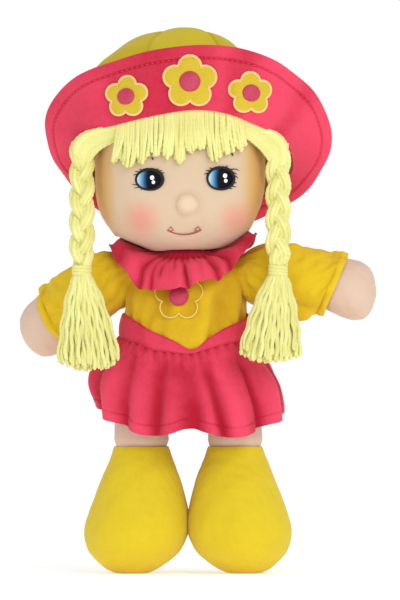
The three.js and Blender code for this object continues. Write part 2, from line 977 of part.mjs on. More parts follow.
// The fringe's cut ends, as shares of its half width and depth, with the hollows between them.
const fringeTipShares = [
  [-1, 0.9],
  [-0.88, 0.74],
  [-0.75, 0.97],
  [-0.66, 0.8],
  [-0.57, 0.9],
  [-0.46, 0.74],
  [-0.35, 0.91],
  [-0.26, 0.72],
  [-0.17, 0.84],
  [-0.09, 0.7],
  [0, 0.92],
  [0.08, 0.62],
  [0.15, 0.74],
  [0.23, 0.56],
  [0.33, 0.68],
  [0.43, 0.55],
  [0.53, 0.88],
  [0.63, 0.62],
  [0.73, 0.78],
  [0.82, 0.58],
  [0.91, 0.7],
  [1, 0.5],
];

function makeFringe() {
  const top = headCentre.z + fringeTop;
  const outline = [
    [headCentre.x - fringeHalfWidth, top],
    [headCentre.x + fringeHalfWidth, top],
  ];
  const ends = fringeTipShares.slice().reverse();
  for (const [across, down] of ends) {
    outline.push([headCentre.x + across * fringeHalfWidth, top - down * fringeDepth]);
  }
  outline.reverse();
  const front = headCentre.y - headHalfDepth - overrun;
  const prism = prismAlongY(outline, front, headCentre.y);
  const layer = headSolid(seamGap + hairThickness).subtract(headSolid(seamGap));
  return largest(layer.intersect(prism).subtract(filledCrown()).subtract(brimRoom()));
}

function makeBackHair() {
  const reach = headHalfWidth + overrun;
  const low = new THREE.Vector3(headCentre.x - reach, backHairForwardEdge, headCentre.z - backHairHalfHeight);
  const high = new THREE.Vector3(headCentre.x + reach, reach, headCentre.z + backHairHalfHeight);
  const layer = headSolid(seamGap + hairThickness).subtract(headSolid(seamGap));
  return largest(layer.intersect(block(low, high)));
}

function plaitRoot(side) {
  const x = headCentre.x + (side * plaitSpacing) / 2;
  return new THREE.Vector3(x, -plaitRootForward, headCentre.z + plaitRootRise);
}

const tieHeight = headCentre.z + plaitRootRise - plaitLength;

function makePlait(side) {
  const root = plaitRoot(side);
  const path = [];
  const steps = 4;
  for (let step = 0; step <= steps; step += 1) {
    const share = step / steps;
    const eased = Math.min(2 * share * (1 - share / 2), 1);
    const forward = THREE.MathUtils.lerp(plaitRootForward, plaitHangForward, eased);
    const z = THREE.MathUtils.lerp(root.z, tieHeight + tieBandRadius, share);
    path.push(new THREE.Vector3(root.x, -forward, z));
  }
  const radii = [];
  const rows = 2 * plaitLobes;
  for (let row = 0; row <= rows; row += 1) {
    const swell = row % 2 === 0 ? plaitPinchShare : 1;
    radii.push(row === rows ? tieRadius : swell * plaitRadius);
  }
  return stuffedTube(path, radii, plaitSides).add(ball(root, plaitPinchShare * plaitRadius, domeSides));
}

const plaitPinchShare = 0.86;

function makeTie(side) {
  const geometry = new THREE.TorusGeometry(tieRadius, tieBandRadius, tieBandSides, tieSides);
  const root = plaitRoot(side);
  geometry.translate(root.x, -plaitHangForward, tieHeight);
  return solidOfGeometry(geometry);
}

// Tassel rows: how far down, half width and half depth, as shares.
const tasselShares = [
  [0, 0.22, 0.55],
  [0.14, 0.4, 0.72],
  [0.38, 0.64, 0.95],
  [0.68, 0.86, 1],
  [0.9, 1, 0.9],
  [1, 0.9, 0.6],
];

function makeTassel(side) {
  const root = plaitRoot(side);
  const top = tieHeight - tieBandRadius - seamGap;
  const rings = tasselShares.map(([down, width, depth]) => {
    const centre = new THREE.Vector3(
      root.x - side * tasselInward * down,
      -plaitHangForward - tasselForward * down * down,
      top - tasselLength * down,
    );
    return levelRing(centre, width * tasselHalfWidth, depth * tasselHalfDepth, domeSides);
  });
  return skinOver(rings);
}

const swoopSwellShares = [0.7, 0.95, 1, 1, 0.95];

// The swoop's path from the fringe to the plait's root, as shares of the head's half sizes.
const swoopShares = [
  [0.72, -0.8, 0.56],
  [0.93, -0.62, 0.42],
  [1.07, -0.44, 0.3],
];

function makeSwoop(side) {
  const path = swoopShares.map(([across, back, up]) => {
    const place = new THREE.Vector3(side * across * headHalfWidth, back * headHalfDepth, up * headHalfHeight);
    return place.add(headCentre);
  });
  const root = plaitRoot(side);
  path.push(root);
  const radii = swoopSwellShares.map((share) => share * swoopRadius);
  return largest(
    stuffedTube(path, radii, plaitSides)
      .subtract(headSolid(seamGap))
      .subtract(headSolid(2 * seamGap + hairThickness).intersect(fringeRoom()))
      .subtract(filledCrown())
      .subtract(brimRoom())
      .subtract(plaitRoom(side)),
  );
}

// The room that the plait's root needs as it hangs and as it swings outwards.
function plaitRoom(side) {
  const root = plaitRoot(side);
  const reach = plaitRadius + seamGap;
  const below = [root.clone(), root.clone()];
  below[0].add(new THREE.Vector3(-reach, -overrun, -overrun));
  below[1].add(new THREE.Vector3(reach, overrun, 0));
  const beside = [root.clone(), root.clone()];
  beside[0].add(new THREE.Vector3(side < 0 ? -overrun : 0, -overrun, -overrun));
  beside[1].add(new THREE.Vector3(side < 0 ? 0 : overrun, overrun, reach));
  const socket = roundRoom(root, plaitPinchShare * plaitRadius + seamGap, domeSides);
  return block(...below).add(block(...beside)).add(socket);
}

// The stretch of the head that the fringe covers, with the air gap round it.
function fringeRoom() {
  const reach = fringeHalfWidth + seamGap;
  const low = headCentre.clone();
  low.add(new THREE.Vector3(-reach, -headHalfDepth - overrun, -headHalfHeight));
  const high = headCentre.clone();
  high.add(new THREE.Vector3(reach, 0, headHalfHeight + overrun));
  return block(low, high);
}

// Collar: a pleated ring that falls in front and stands out over the shoulders.

function collarPoint(round, out, offset) {
  const angle = 2 * Math.PI * round;
  const across = Math.sin(angle);
  const back = -Math.cos(angle);
  const halfWidth = THREE.MathUtils.lerp(collarInnerRadius, collarHalfWidth, out);
  const halfDepth = THREE.MathUtils.lerp(collarInnerRadius, collarHalfDepth, out);
  const fall = back < 0 ? collarFall : collarFall / 2;
  const drop = THREE.MathUtils.lerp(-collarWingRise, fall, back * back) * out;
  const pleat = collarPleatHeight * out * Math.cos(collarPleats * angle);
  const z = trunkTop + clothThickness + 3 * seamGap + collarThickness - drop + pleat + offset;
  return new THREE.Vector3(across * halfWidth, back * halfDepth, z);
}

function collarRing(out, offset) {
  const ring = [];
  for (let k = 0; k < collarSides; k += 1) {
    ring.push(collarPoint(k / collarSides, out, offset));
  }
  return ring;
}

function makeCollar() {
  const rings = [];
  for (let row = 0; row <= collarRows; row += 1) {
    rings.push(collarRing(row / collarRows, 0));
  }
  for (let row = collarRows; row >= 0; row -= 1) {
    rings.push(collarRing(row / collarRows, -collarThickness));
  }
  return largest(skinOver(rings, true).subtract(headSolid(seamGap)));
}

// Skirt: gathered at the waistband, puffed out, with folds that grow towards the hem.

const skirtPuffPower = 2.2;

function skirtPoint(round, down, inset) {
  const angle = 2 * Math.PI * round;
  const across = Math.sin(angle);
  const back = -Math.cos(angle);
  const bandSide = waistHeight - seamGap - waistbandHeight;
  const topZ = bandSide - waistDrop(across * trunkHalfWidth, back);
  const waist = trunkSizes(topZ);
  const topX = across * (waist.halfWidth + skirtWaistClearance + skirtThickness - inset);
  const topY = waist.y + back * (waist.halfDepth + skirtWaistClearance + skirtThickness - inset);
  const fold = skirtFoldHeight * down * Math.cos(skirtFolds * angle);
  const hemX = hemShift + across * (hemHalfWidth + fold - inset);
  const hemY = back * (hemHalfDepth + fold - inset);
  const front = back < 0 ? back * back : 0;
  const hemZ = hipHeight - hemDrop - hemFrontDrop * front;
  const puff = 1 - (1 - down) ** skirtPuffPower;
  return new THREE.Vector3(
    THREE.MathUtils.lerp(topX, hemX, puff),
    THREE.MathUtils.lerp(topY, hemY, puff),
    THREE.MathUtils.lerp(topZ, hemZ, down),
  );
}

function skirtRing(down, inset) {
  const ring = [];
  for (let k = 0; k < skirtSides; k += 1) {
    ring.push(skirtPoint(k / skirtSides, down, inset));
  }
  return ring;
}

function makeSkirt() {
  const rings = [];
  for (let row = 0; row <= skirtRows; row += 1) {
    rings.push(skirtRing(row / skirtRows, 0));
  }
  for (let row = skirtRows; row >= 0; row -= 1) {
    rings.push(skirtRing(row / skirtRows, skirtThickness));
  }
  return skinOver(rings, true).intersect(underWaist(2 * seamGap + waistbandHeight));
}

// Colours of the cloth, the felt and the yarn

const skin = 0xe6caaa;
const yarn = 0xf0f096;
const pink = 0xe14164;
const deepPink = 0xb8304a;
const yellow = 0xe8cd2d;
const blouseYellow = 0xdcb428;
const crownYellow = 0xc9ba42;
const paleStitch = 0xffd88c;
const eyeBlue = 0x2a5f96;
const threadBrown = 0x9c4a3a;

const doll = new THREE.Group();

function addPiece(name, solid, colour) {
  doll.add(meshOf(name, solid, colour));
}

addPiece("torso", makeTorso(), skin);
addPiece("head", makeHead(), skin);
addPiece("nose", makeNose(), skin);
addPiece("mouth_stitch", makeMouth(), threadBrown);
addPiece("hair_fringe", makeFringe(), yarn);
addPiece("back_hair", makeBackHair(), yarn);
addPiece("hat_crown", makeCrown(), crownYellow);
addPiece("hat_brim", makeBrim(), pink);
addPiece("collar_ruffle", makeCollar(), pink);
addPiece("blouse_body", makeBlouse(), blouseYellow);
addPiece("chest_flower_outline", makeChestOutline(), paleStitch);
addPiece("chest_flower_centre", makeChestCentre(), deepPink);
addPiece("waistband", makeWaistband(), pink);
addPiece("skirt", makeSkirt(), pink);

for (const [place, flower] of Object.entries(hatFlowers)) {
  addPiece(`${place}_hat_flower`, makeFlowerFelt(flower), yellow);
  addPiece(`${place}_hat_flower_edge`, makeFlowerEdge(flower), paleStitch);
  addPiece(`${place}_hat_flower_centre`, makeFlowerDome(flower), deepPink);
}

const arm = makeArmForm();
const sleeve = makeSleeveForm();

for (const [sideName, side] of [["right", -1], ["left", 1]]) {
  addPiece(`${sideName}_eye`, makeEye(side), eyeBlue);
  addPiece(`${sideName}_hair_swoop`, makeSwoop(side), yarn);
  addPiece(`${sideName}_plait`, makePlait(side), yarn);
  addPiece(`${sideName}_plait_tie`, makeTie(side), yarn);
  addPiece(`${sideName}_plait_tassel`, makeTassel(side), yarn);
  addPiece(`${sideName}_arm`, placedArm(arm, side), skin);
  addPiece(`${sideName}_sleeve`, placedArm(sleeve, side), blouseYellow);
  addPiece(`${sideName}_leg`, makeLeg(side), skin);
  addPiece(`${sideName}_boot`, makeBoot(side), yellow);
}

// The doll stands with the middle of its box over the origin.
const box = new THREE.Box3().setFromObject(doll);
const middle = box.getCenter(new THREE.Vector3());
doll.position.set(-middle.x, -middle.y, 0);

export default doll;
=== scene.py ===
"""A soft rag doll with yarn plaits, a sun hat, a blouse, a gathered skirt and stuffed boots.

Shapes are worked out in millimetres in the doll's own frame, where X is 0 at the neck, +Z is up and the
face looks along -Y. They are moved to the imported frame, in metres, when a mesh is made. Left and right are
the doll's own.
"""

import json
import logging
import math
from dataclasses import dataclass, field
from enum import Enum
from typing import Callable, Iterable, Sequence

import bpy
import numpy as np
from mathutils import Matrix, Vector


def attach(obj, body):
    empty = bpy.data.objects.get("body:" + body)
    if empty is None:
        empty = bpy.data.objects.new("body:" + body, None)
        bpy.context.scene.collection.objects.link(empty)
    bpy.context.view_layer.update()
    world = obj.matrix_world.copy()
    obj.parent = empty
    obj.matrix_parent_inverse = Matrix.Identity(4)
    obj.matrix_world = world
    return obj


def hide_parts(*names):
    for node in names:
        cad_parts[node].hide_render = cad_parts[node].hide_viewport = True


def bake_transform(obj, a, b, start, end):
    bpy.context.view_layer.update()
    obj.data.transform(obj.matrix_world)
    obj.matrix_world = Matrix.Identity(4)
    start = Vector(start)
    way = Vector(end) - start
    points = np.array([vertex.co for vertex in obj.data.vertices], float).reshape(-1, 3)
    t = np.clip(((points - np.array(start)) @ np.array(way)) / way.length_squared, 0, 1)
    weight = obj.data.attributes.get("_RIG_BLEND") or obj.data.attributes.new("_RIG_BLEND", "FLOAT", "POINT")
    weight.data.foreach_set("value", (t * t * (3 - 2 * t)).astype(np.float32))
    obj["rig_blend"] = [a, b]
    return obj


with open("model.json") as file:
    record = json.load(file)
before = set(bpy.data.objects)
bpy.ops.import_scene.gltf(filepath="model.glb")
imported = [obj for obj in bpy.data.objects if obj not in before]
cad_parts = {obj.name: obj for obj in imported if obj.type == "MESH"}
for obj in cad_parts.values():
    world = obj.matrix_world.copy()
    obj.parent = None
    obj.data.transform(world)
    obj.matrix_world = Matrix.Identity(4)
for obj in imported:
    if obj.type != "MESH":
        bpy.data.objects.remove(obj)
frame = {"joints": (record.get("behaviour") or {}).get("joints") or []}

Array = np.ndarray
Vec = tuple[float, float, float]
LOG = logging.getLogger("doll")
METRES = 0.001
TURN = 2 * math.pi
CREASE = math.radians(55)
UP = np.array([0.0, 0.0, 1.0])


def frame_shift() -> Array:
    """Millimetres from the doll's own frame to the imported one, read from the neck joint."""
    neck = next(joint for joint in frame["joints"] if joint["name"] == "head_tilt")
    return np.array([neck["pos_m"][0], neck["pos_m"][1], 0.0]) / METRES


SHIFT = frame_shift()


def stacked(*parts: Array | float) -> Array:
    """Coordinates, or the corners of faces, side by side on a last axis."""
    return np.stack(np.broadcast_arrays(*parts), -1)


def packed(points: Array) -> Array:
    """Points of the doll's own frame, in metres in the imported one."""
    return (points + SHIFT) * METRES


class Side(Enum):
    """A side of the doll, with the sign of X there."""

    RIGHT = -1
    LEFT = 1

    @property
    def word(self) -> str:
        """The side's name in piece names."""
        return self.name.lower()


# Numbers and curves


def unit(vectors: Array) -> Array:
    """Vectors at length one."""
    return vectors / (np.linalg.norm(vectors, axis=-1, keepdims=True) + 1e-12)


def smooth(value: Array, low: float, high: float) -> Array:
    """An even step from 0 at low to 1 at high."""
    share = np.clip((value - low) / (high - low), 0, 1)
    return share * share * (3 - 2 * share)


def bell(value: Array, middle: float, width: float) -> Array:
    """A bell curve of height one."""
    return np.exp(-(((value - middle) / width) ** 2))


def powered(value: Array, power: float) -> Array:
    """A power that keeps the sign."""
    return np.sign(value) * np.abs(value) ** power


def round_grid(columns: int, down: Array) -> tuple[Array, Array]:
    """A grid of angles round a ring, from the front by the doll's left, and of places down it."""
    return tuple(np.meshgrid(TURN * np.arange(columns) / columns, down))


def signed_degrees(turn: Array) -> Array:
    """Angles in degrees from -180 to 180."""
    return (np.degrees(turn) + 180) % 360 - 180


def dome(share: Array, power: float) -> Array:
    """A dome of height one over shares of the way from its middle to its rim."""
    return np.sqrt(np.clip(1 - share**power, 0, 1))


def table_at(table: Sequence[Sequence[float]], place: Array) -> list[Array]:
    """Smooth reading of a table whose rows start with their place.

    Args:
        table: rows of a place and the values there.
        place: where to read, as an array.

    Returns:
        One array for each column of values, by cubic pieces with the slopes of their neighbours.
    """
    rows = np.array(table, float)
    last = len(rows) - 1
    place = np.asarray(place, float)
    i = np.clip(np.searchsorted(rows[:, 0], place, side="right") - 1, 0, last - 1)
    before, low, high = rows[np.maximum(i - 1, 0)], rows[i], rows[i + 1]
    after = rows[np.minimum(i + 2, last)]
    step = high[..., :1] - low[..., :1]
    t = np.clip((place[..., None] - low[..., :1]) / step, 0, 1)
    slope_low = (high - before) / (high[..., :1] - before[..., :1]) * step
    slope_high = (after - low) / (after[..., :1] - low[..., :1]) * step
    value = (2 * t**3 - 3 * t**2 + 1) * low + (t**3 - 2 * t**2 + t) * slope_low
    value = value + (3 * t**2 - 2 * t**3) * high + (t**3 - t**2) * slope_high
    return [value[..., k] for k in range(1, rows.shape[1])]


class Loop:
    """A smooth closed curve near evenly numbered stations, kept as a short sum of waves."""

    def __init__(self, stations: Array, waves: int = 11, dense: int = 256) -> None:
        """Joins the stations by cubic pieces, samples those and keeps their longer waves.

        Args:
            stations: points (count, 3).
            waves: how many waves are kept, the shortest of them fading out.
            dense: how many samples are taken.
        """
        count = len(stations)
        place = np.arange(dense) * count / dense
        i = place.astype(int)
        t = (place - i)[:, None]
        before, low, high, after = (stations[(i + k) % count] for k in (-1, 0, 1, 2))
        value = (2 * t**3 - 3 * t**2 + 1) * low + (t**3 - 2 * t**2 + t) * (high - before) / 2
        value = value + (3 * t**2 - 2 * t**3) * high + (t**3 - t**2) * (after - low) / 2
        parts = np.fft.fft(value, axis=0) / dense
        numbers = np.fft.fftfreq(dense, 1 / dense)
        kept = np.abs(numbers) <= waves
        fade = 1 - smooth(np.abs(numbers), 0.5 * waves, 1.3 * waves)
        self.numbers = numbers[kept]
        self.parts = (parts * fade[:, None])[kept]

    def __call__(self, place: Array) -> Array:
        """Points at shares of the loop, any shape, with a last axis of 3."""
        turns = np.exp(1j * TURN * np.asarray(place, float)[..., None] * self.numbers)
        return (turns @ self.parts).real


def bezier(controls: Array, steps: int) -> Array:
    """Points along cubic curves.

    Args:
        controls: the four controls of each curve (..., 4, 3).
        steps: how many points each one gets.

    Returns:
        The points (..., steps, 3).
    """
    t = np.linspace(0, 1, steps)
    weights = stacked((1 - t) ** 3, 3 * t * (1 - t) ** 2, 3 * t * t * (1 - t), t**3)
    return np.einsum("sk,...kc->...sc", weights, controls)


class Ripple:
    """Soft uneven ground: a sum of slanted waves whose length is about one size."""

    def __init__(self, seed: int, size: float, terms: int = 9) -> None:
        """Draws the waves' directions and phases.

        Args:
            seed: the number that the draw starts from.
            size: the length of the waves in millimetres.
            terms: how many waves.
        """
        rng = np.random.default_rng(seed)
        self.ways = unit(rng.normal(size=(terms, 3))) * rng.uniform(0.6, 1.5, (terms, 1)) * TURN / size
        self.phases = rng.uniform(0, TURN, terms)

    def __call__(self, points: Array) -> Array:
        """Heights about 0 with a spread of about one, for points with a last axis of 3."""
        return np.sin(points @ self.ways.T + self.phases).sum(-1) / math.sqrt(len(self.phases) / 2)


# Surfaces


@dataclass
class Surface:
    """Points in millimetres with quads and triangles over them, and places on the cloth for both."""

    points: Array
    quads: Array
    quad_uv: Array
    triangles: Array = field(default_factory=lambda: np.zeros((0, 3), int))
    triangle_uv: Array = field(default_factory=lambda: np.zeros((0, 3, 2)))
    # Painted shade and light for the cloth and the face, and each strand's own tone for the yarn.
    tint: Array | None = None

    def with_tint(self, tint: Array | float) -> "Surface":
        """The surface with a value at each point for its material: painted shade and light, or a yarn
        strand's own tone.
        """
        self.tint = np.broadcast_to(np.asarray(tint, float), (len(self.points),)).copy()
        return self

    def volume(self) -> float:
        """Six times the signed volume that the faces close, as the sum of their corners' triple products."""
        fans = np.concatenate([self.quads[:, [0, 1, 2]], self.quads[:, [0, 2, 3]], self.triangles])
        a, b, c = (self.points[fans[:, k]] for k in range(3))
        return float(np.einsum("ij,ij->", np.cross(a, b), c))

    def outward(self) -> "Surface":
        """The same closed surface with its faces pointing out."""
        if self.volume() < 0:
            self.quads, self.quad_uv = self.quads[:, ::-1], self.quad_uv[:, ::-1]
            self.triangles, self.triangle_uv = self.triangles[:, ::-1], self.triangle_uv[:, ::-1]
        return self


def grid_quads(rows: int, columns: int, wrap: bool, rows_wrap: bool = False) -> tuple[Array, Array, Array]:
    """Corner numbers of a grid's quads.

    Args:
        rows: how many rows of points there are.
        columns: how many columns.
        wrap: whether the last column joins the first.
        rows_wrap: whether the last row joins the first.

    Returns:
        The quads, and the row and the column of each one's first corner.
    """
    starts = np.indices((rows if rows_wrap else rows - 1, columns if wrap else columns - 1))
    i, j = starts.reshape(2, -1)
    below, after = (i + 1) % rows, (j + 1) % columns
    quads = stacked(i * columns + j, i * columns + after, below * columns + after, below * columns + j)
    return quads, i, j


def grid_surface(points: Array, wrap: bool = True, rows_wrap: bool = False, caps: bool = False) -> Surface:
    """A surface over a grid of points.

    Args:
        points: the grid (rows, columns, 3).
        wrap: whether the last column joins the first.
        rows_wrap: whether the last row joins the first.
        caps: whether the first and last rows are closed by fans round their middles.

    Returns:
        The surface, with places on the cloth measured along the rows and the columns.
    """
    rows, columns = points.shape[:2]
    quads, i, j = grid_quads(rows, columns, wrap, rows_wrap)
    across = np.linalg.norm(np.roll(points, -1, 1) - points, axis=-1).mean(0)
    down = np.linalg.norm(np.roll(points, -1, 0) - points, axis=-1).mean(1)
    u = np.concatenate([[0], np.cumsum(across)])
    v = np.concatenate([[0], np.cumsum(down)])
    u_places = stacked(u[j], u[j + 1], u[j + 1], u[j])
    v_places = stacked(v[i], v[i], v[i + 1], v[i + 1])
    uv = stacked(u_places, v_places)
    flat = points.reshape(-1, 3)
    triangles, triangle_uv = np.zeros((0, 3), int), np.zeros((0, 3, 2))
    if caps:
        k = np.arange(columns)
        after = (k + 1) % columns
        tip, start = len(flat), (rows - 1) * columns
        triangles = np.concatenate([stacked(tip, after, k), stacked(tip + 1, start + k, start + after)])
        flat = np.concatenate([flat, [points[0].mean(0), points[-1].mean(0)]])
        triangle_uv = (flat[triangles] - flat.mean(0))[..., [0, 1]]
    return Surface(flat, quads, uv, triangles, triangle_uv)


def joined(surfaces: Iterable[Surface]) -> Surface:
    """Several surfaces as one.

    Args:
        surfaces: the parts, all with painted shading and tone values or all without.

    Returns:
        One surface with all their faces.
    """
    parts = list(surfaces)
    starts = np.cumsum([0] + [len(part.points) for part in parts])
    tint = None
    if parts[0].tint is not None:
        tint = np.concatenate([part.tint for part in parts])
    return Surface(
        np.concatenate([part.points for part in parts]),
        np.concatenate([part.quads + start for part, start in zip(parts, starts)]),
        np.concatenate([part.quad_uv for part in parts]),
        np.concatenate([part.triangles + start for part, start in zip(parts, starts)]),
        np.concatenate([part.triangle_uv for part in parts]),
        tint,
    )


def grid_normals(points: Array, wrap: bool) -> Array:
    """Unit vectors square to a grid, from the cross product of its two ways.

    Args:
        points: the grid (rows, columns, 3).
        wrap: whether the last column joins the first.

    Returns:
        The vectors (rows, columns, 3).
    """
    if wrap:
        across = np.roll(points, -1, 1) - np.roll(points, 1, 1)
    else:
        across = np.gradient(points, axis=1)
    return unit(np.cross(across, np.gradient(points, axis=0)))


def cloth_shell(middle: Array, thickness: Array | float, shade: Array, wrap: bool = True) -> Surface:
    """A sheet of cloth as a closed shell: its grid moved half a thickness each way, with joined borders.

    Args:
        middle: the grid of the cloth's middle (rows, columns, 3).
        thickness: how thick it is, one number or one for each point.
        shade: the painted shade of both faces at each point of the grid.
        wrap: whether the last column joins the first.

    Returns:
        The closed surface.
    """
    rows, columns = middle.shape[:2]
    half = np.broadcast_to(np.asarray(thickness, float), (rows, columns))[..., None] / 2
    normals = grid_normals(middle, wrap)
    front = grid_surface(middle + normals * half, wrap)
    back = grid_surface(middle - normals * half, wrap)
    count = rows * columns
    quads = [front.quads, back.quads[:, ::-1] + count]
    uvs = [front.quad_uv, back.quad_uv[:, ::-1]]
    index = np.arange(count).reshape(rows, columns)
    borders = [(index[0], wrap, False), (index[-1], wrap, True)]
    if not wrap:
        borders += [(index[:, 0], False, True), (index[:, -1], False, False)]
    for line, closed, turned in borders:
        here = line if closed else line[:-1]
        after = np.roll(line, -1) if closed else line[1:]
        strip = stacked(here, here + count, after + count, after)
        quads.append(strip[:, ::-1] if turned else strip)
        uvs.append(np.zeros((len(strip), 4, 2)))
    points = np.concatenate([front.points, back.points])
    surface = Surface(points, np.concatenate(quads), np.concatenate(uvs)).outward()
    return surface.with_tint(np.tile(shade.ravel(), 2))


def declare_sheet(grid: Array) -> None:
    """Takes the steps between neighbouring points along a cloth's rows, and keeps nothing.

    Args:
        grid: the grid of the cloth's middle, in millimetres.
    """
    around = np.roll(grid, -1, 1) - grid


def spread(values: Array, places: Array, count: int) -> Array:
    """Values kept at some rows, read smoothly at every row.

    Args:
        values: one row of numbers for each place (places, ...).
        places: the numbers of the kept rows.
        count: how many rows there are in all.

    Returns:
        Numbers for every row (count, ...).
    """
    table = np.column_stack([places, values.reshape(len(places), -1)])
    return np.stack(table_at(table, np.arange(count)), -1).reshape(count, *values.shape[1:])


@dataclass(frozen=True)
class ClothRun:
    """A cloth simulation on a coarse copy of a piece, whose moves are then laid over the fine grid.

    The copy is made larger, so that the solver works at the scale that it was made for.
    """

    pressure: float = 0.0
    gravity: float = 0.0
    growth: float = 0.0
    cap: float = 2.0
    step: int = 3
    frames: int = 20
    scale: float = 6.0

    def settle(self, grid: Array, held: Array, wrap: bool = True, closed: bool = False) -> Array:
        """Runs the simulation on a grid.

        Args:
            grid: the cloth (rows, columns, 3).
            held: which of its points are held (rows, columns).
            wrap: whether the last column joins the first.
            closed: whether its ends are closed, as a stuffed piece's are.

        Returns: The grid moved, no point further than the cap.
        """
        rows = np.unique(np.append(np.arange(0, grid.shape[0], self.step), grid.shape[0] - 1))
        columns = np.arange(0, grid.shape[1], self.step)
        if not wrap:
            columns = np.unique(np.append(columns, grid.shape[1] - 1))
        coarse = grid[rows][:, columns]
        surface = grid_surface(coarse * self.scale, wrap, caps=closed).outward()
        copy = make_object("cloth_run", surface)
        pins = copy.vertex_groups.new(name="held")
        pins.add(np.flatnonzero(held[rows][:, columns]).tolist(), 1.0, "REPLACE")
        self.modifier(copy)
        scene = bpy.context.scene
        for number in range(1, self.frames + 1):
            scene.frame_set(number)
        after = copy.evaluated_get(bpy.context.evaluated_depsgraph_get()).data
        places = np.empty(3 * len(after.vertices), np.float32)
        after.vertices.foreach_get("co", places)
        bpy.data.objects.remove(copy)
        scene.frame_set(1)
        settled = (places.reshape(-1, 3)[: coarse.size // 3] / METRES - SHIFT) / self.scale
        move = settled.reshape(coarse.shape) - coarse
        reach = np.linalg.norm(move, axis=-1, keepdims=True)
        LOG.info("cloth run moved %d points by %.2f mm at most", coarse.size // 3, reach.max())
        move = move * np.minimum(1, self.cap / (reach + 1e-9))
        across = spread(move, rows, grid.shape[0]).transpose(1, 0, 2)
        width = grid.shape[1]
        if wrap:
            across = np.concatenate([across[-1:], across, across[:2]])
            columns = np.concatenate([columns[:1] - self.step, columns, [width, width + self.step]])
        return grid + spread(across, columns, width).transpose(1, 0, 2)

    def modifier(self, copy: bpy.types.Object) -> None:
        """Puts the cloth on the copy.

        Args:
            copy: the piece's coarse copy, with its held points in a group.
        """
        cloth = copy.modifiers.new("cloth", "CLOTH")
        cloth.point_cache.frame_start = 1
        cloth.point_cache.frame_end = self.frames
        settings = cloth.settings
        settings.quality = 6
        settings.mass = 0.25
        settings.tension_stiffness = settings.compression_stiffness = 18.0
        settings.bending_stiffness = 0.6
        settings.vertex_group_mass = "held"
        settings.effector_weights.gravity = self.gravity
        settings.shrink_min = -self.growth
        settings.use_pressure = self.pressure > 0
        settings.uniform_pressure_force = self.pressure


@dataclass(frozen=True)
class Ply:
    """How a yarn is twisted: how many strands it has, how deep they show and how long a turn is."""

    strands: int = 3
    depth: float = 0.15
    turn: float = 9.0


def tubes(
    paths: Array, radii: Array | float, sides: int, guide: Vec = (0.0, 1.0, 0.0), ply: Ply | None = None
) -> Surface:
    """Round-ended tubes along many paths at once.

    Each ring is the path's point plus the radius times the cosine and sine of the angle, on two ways square
    to the path. A ply adds a wave round the ring that turns with the length.

    Args:
        paths: middles (tubes, steps, 3).
        radii: one number, or an array that fits (tubes, steps).
        sides: how many sides each tube has.
        guide: a way that no path follows, from which the ring's ways are taken.
        ply: how the yarn is twisted, if it is.

    Returns:
        One closed surface for all the tubes.
    """
    count, steps = paths.shape[:2]
    radius = np.broadcast_to(np.asarray(radii, float), (count, steps))
    along = unit(np.gradient(paths, axis=1))
    side = unit(np.cross(along, np.array(guide)))
    up = np.cross(side, along)
    lengths = np.linalg.norm(np.diff(paths, axis=1), axis=-1)
    run = np.concatenate([np.zeros((count, 1)), np.cumsum(lengths, axis=1)], axis=1)
    from_end = np.minimum(run, run[:, -1:] - run)
    rounded = radius * np.sqrt(np.clip(1 - (1 - np.clip(from_end / radius, 0.06, 1)) ** 2, 0, 1))
    angle = TURN * np.arange(sides) / sides
    ring = np.broadcast_to(rounded[..., None], (count, steps, sides))
    if ply is not None:
        turned = angle[None, None, :] - TURN * run[..., None] / ply.turn
        ring = ring * (1 + ply.depth * np.cos(ply.strands * turned))
    around = np.cos(angle)[:, None] * side[:, :, None, :] + np.sin(angle)[:, None] * up[:, :, None, :]
    points = paths[:, :, None, :] + ring[..., None] * around
    quads, i, j = grid_quads(steps, sides, True)
    starts = np.arange(count) * steps * sides
    all_quads = (quads[None] + starts[:, None, None]).reshape(-1, 4)
    girth = TURN * radius.mean() / sides
    corner_i = stacked(i, i, i + 1, i + 1)
    corner_j = stacked(j, j + 1, j + 1, j)
    v = run[:, corner_i]
    u = np.broadcast_to(corner_j * girth, v.shape)
    uv = stacked(u, v).reshape(-1, 4, 2)
    k = np.arange(sides)
    after = (k + 1) % sides
    tip = count * steps * sides + 2 * np.arange(count)[:, None]
    head = starts[:, None]
    tail = head + (steps - 1) * sides
    ends = stacked(tip, head + after, head + k), stacked(tip + 1, tail + k, tail + after)
    triangles = np.stack(ends).reshape(-1, 3)
    tips = np.stack([paths[:, 0], paths[:, -1]], 1).reshape(-1, 3)
    flat = np.concatenate([points.reshape(-1, 3), tips])
    surface = Surface(flat, all_quads, uv, triangles, np.zeros((len(triangles), 3, 2)))
    return surface.outward()


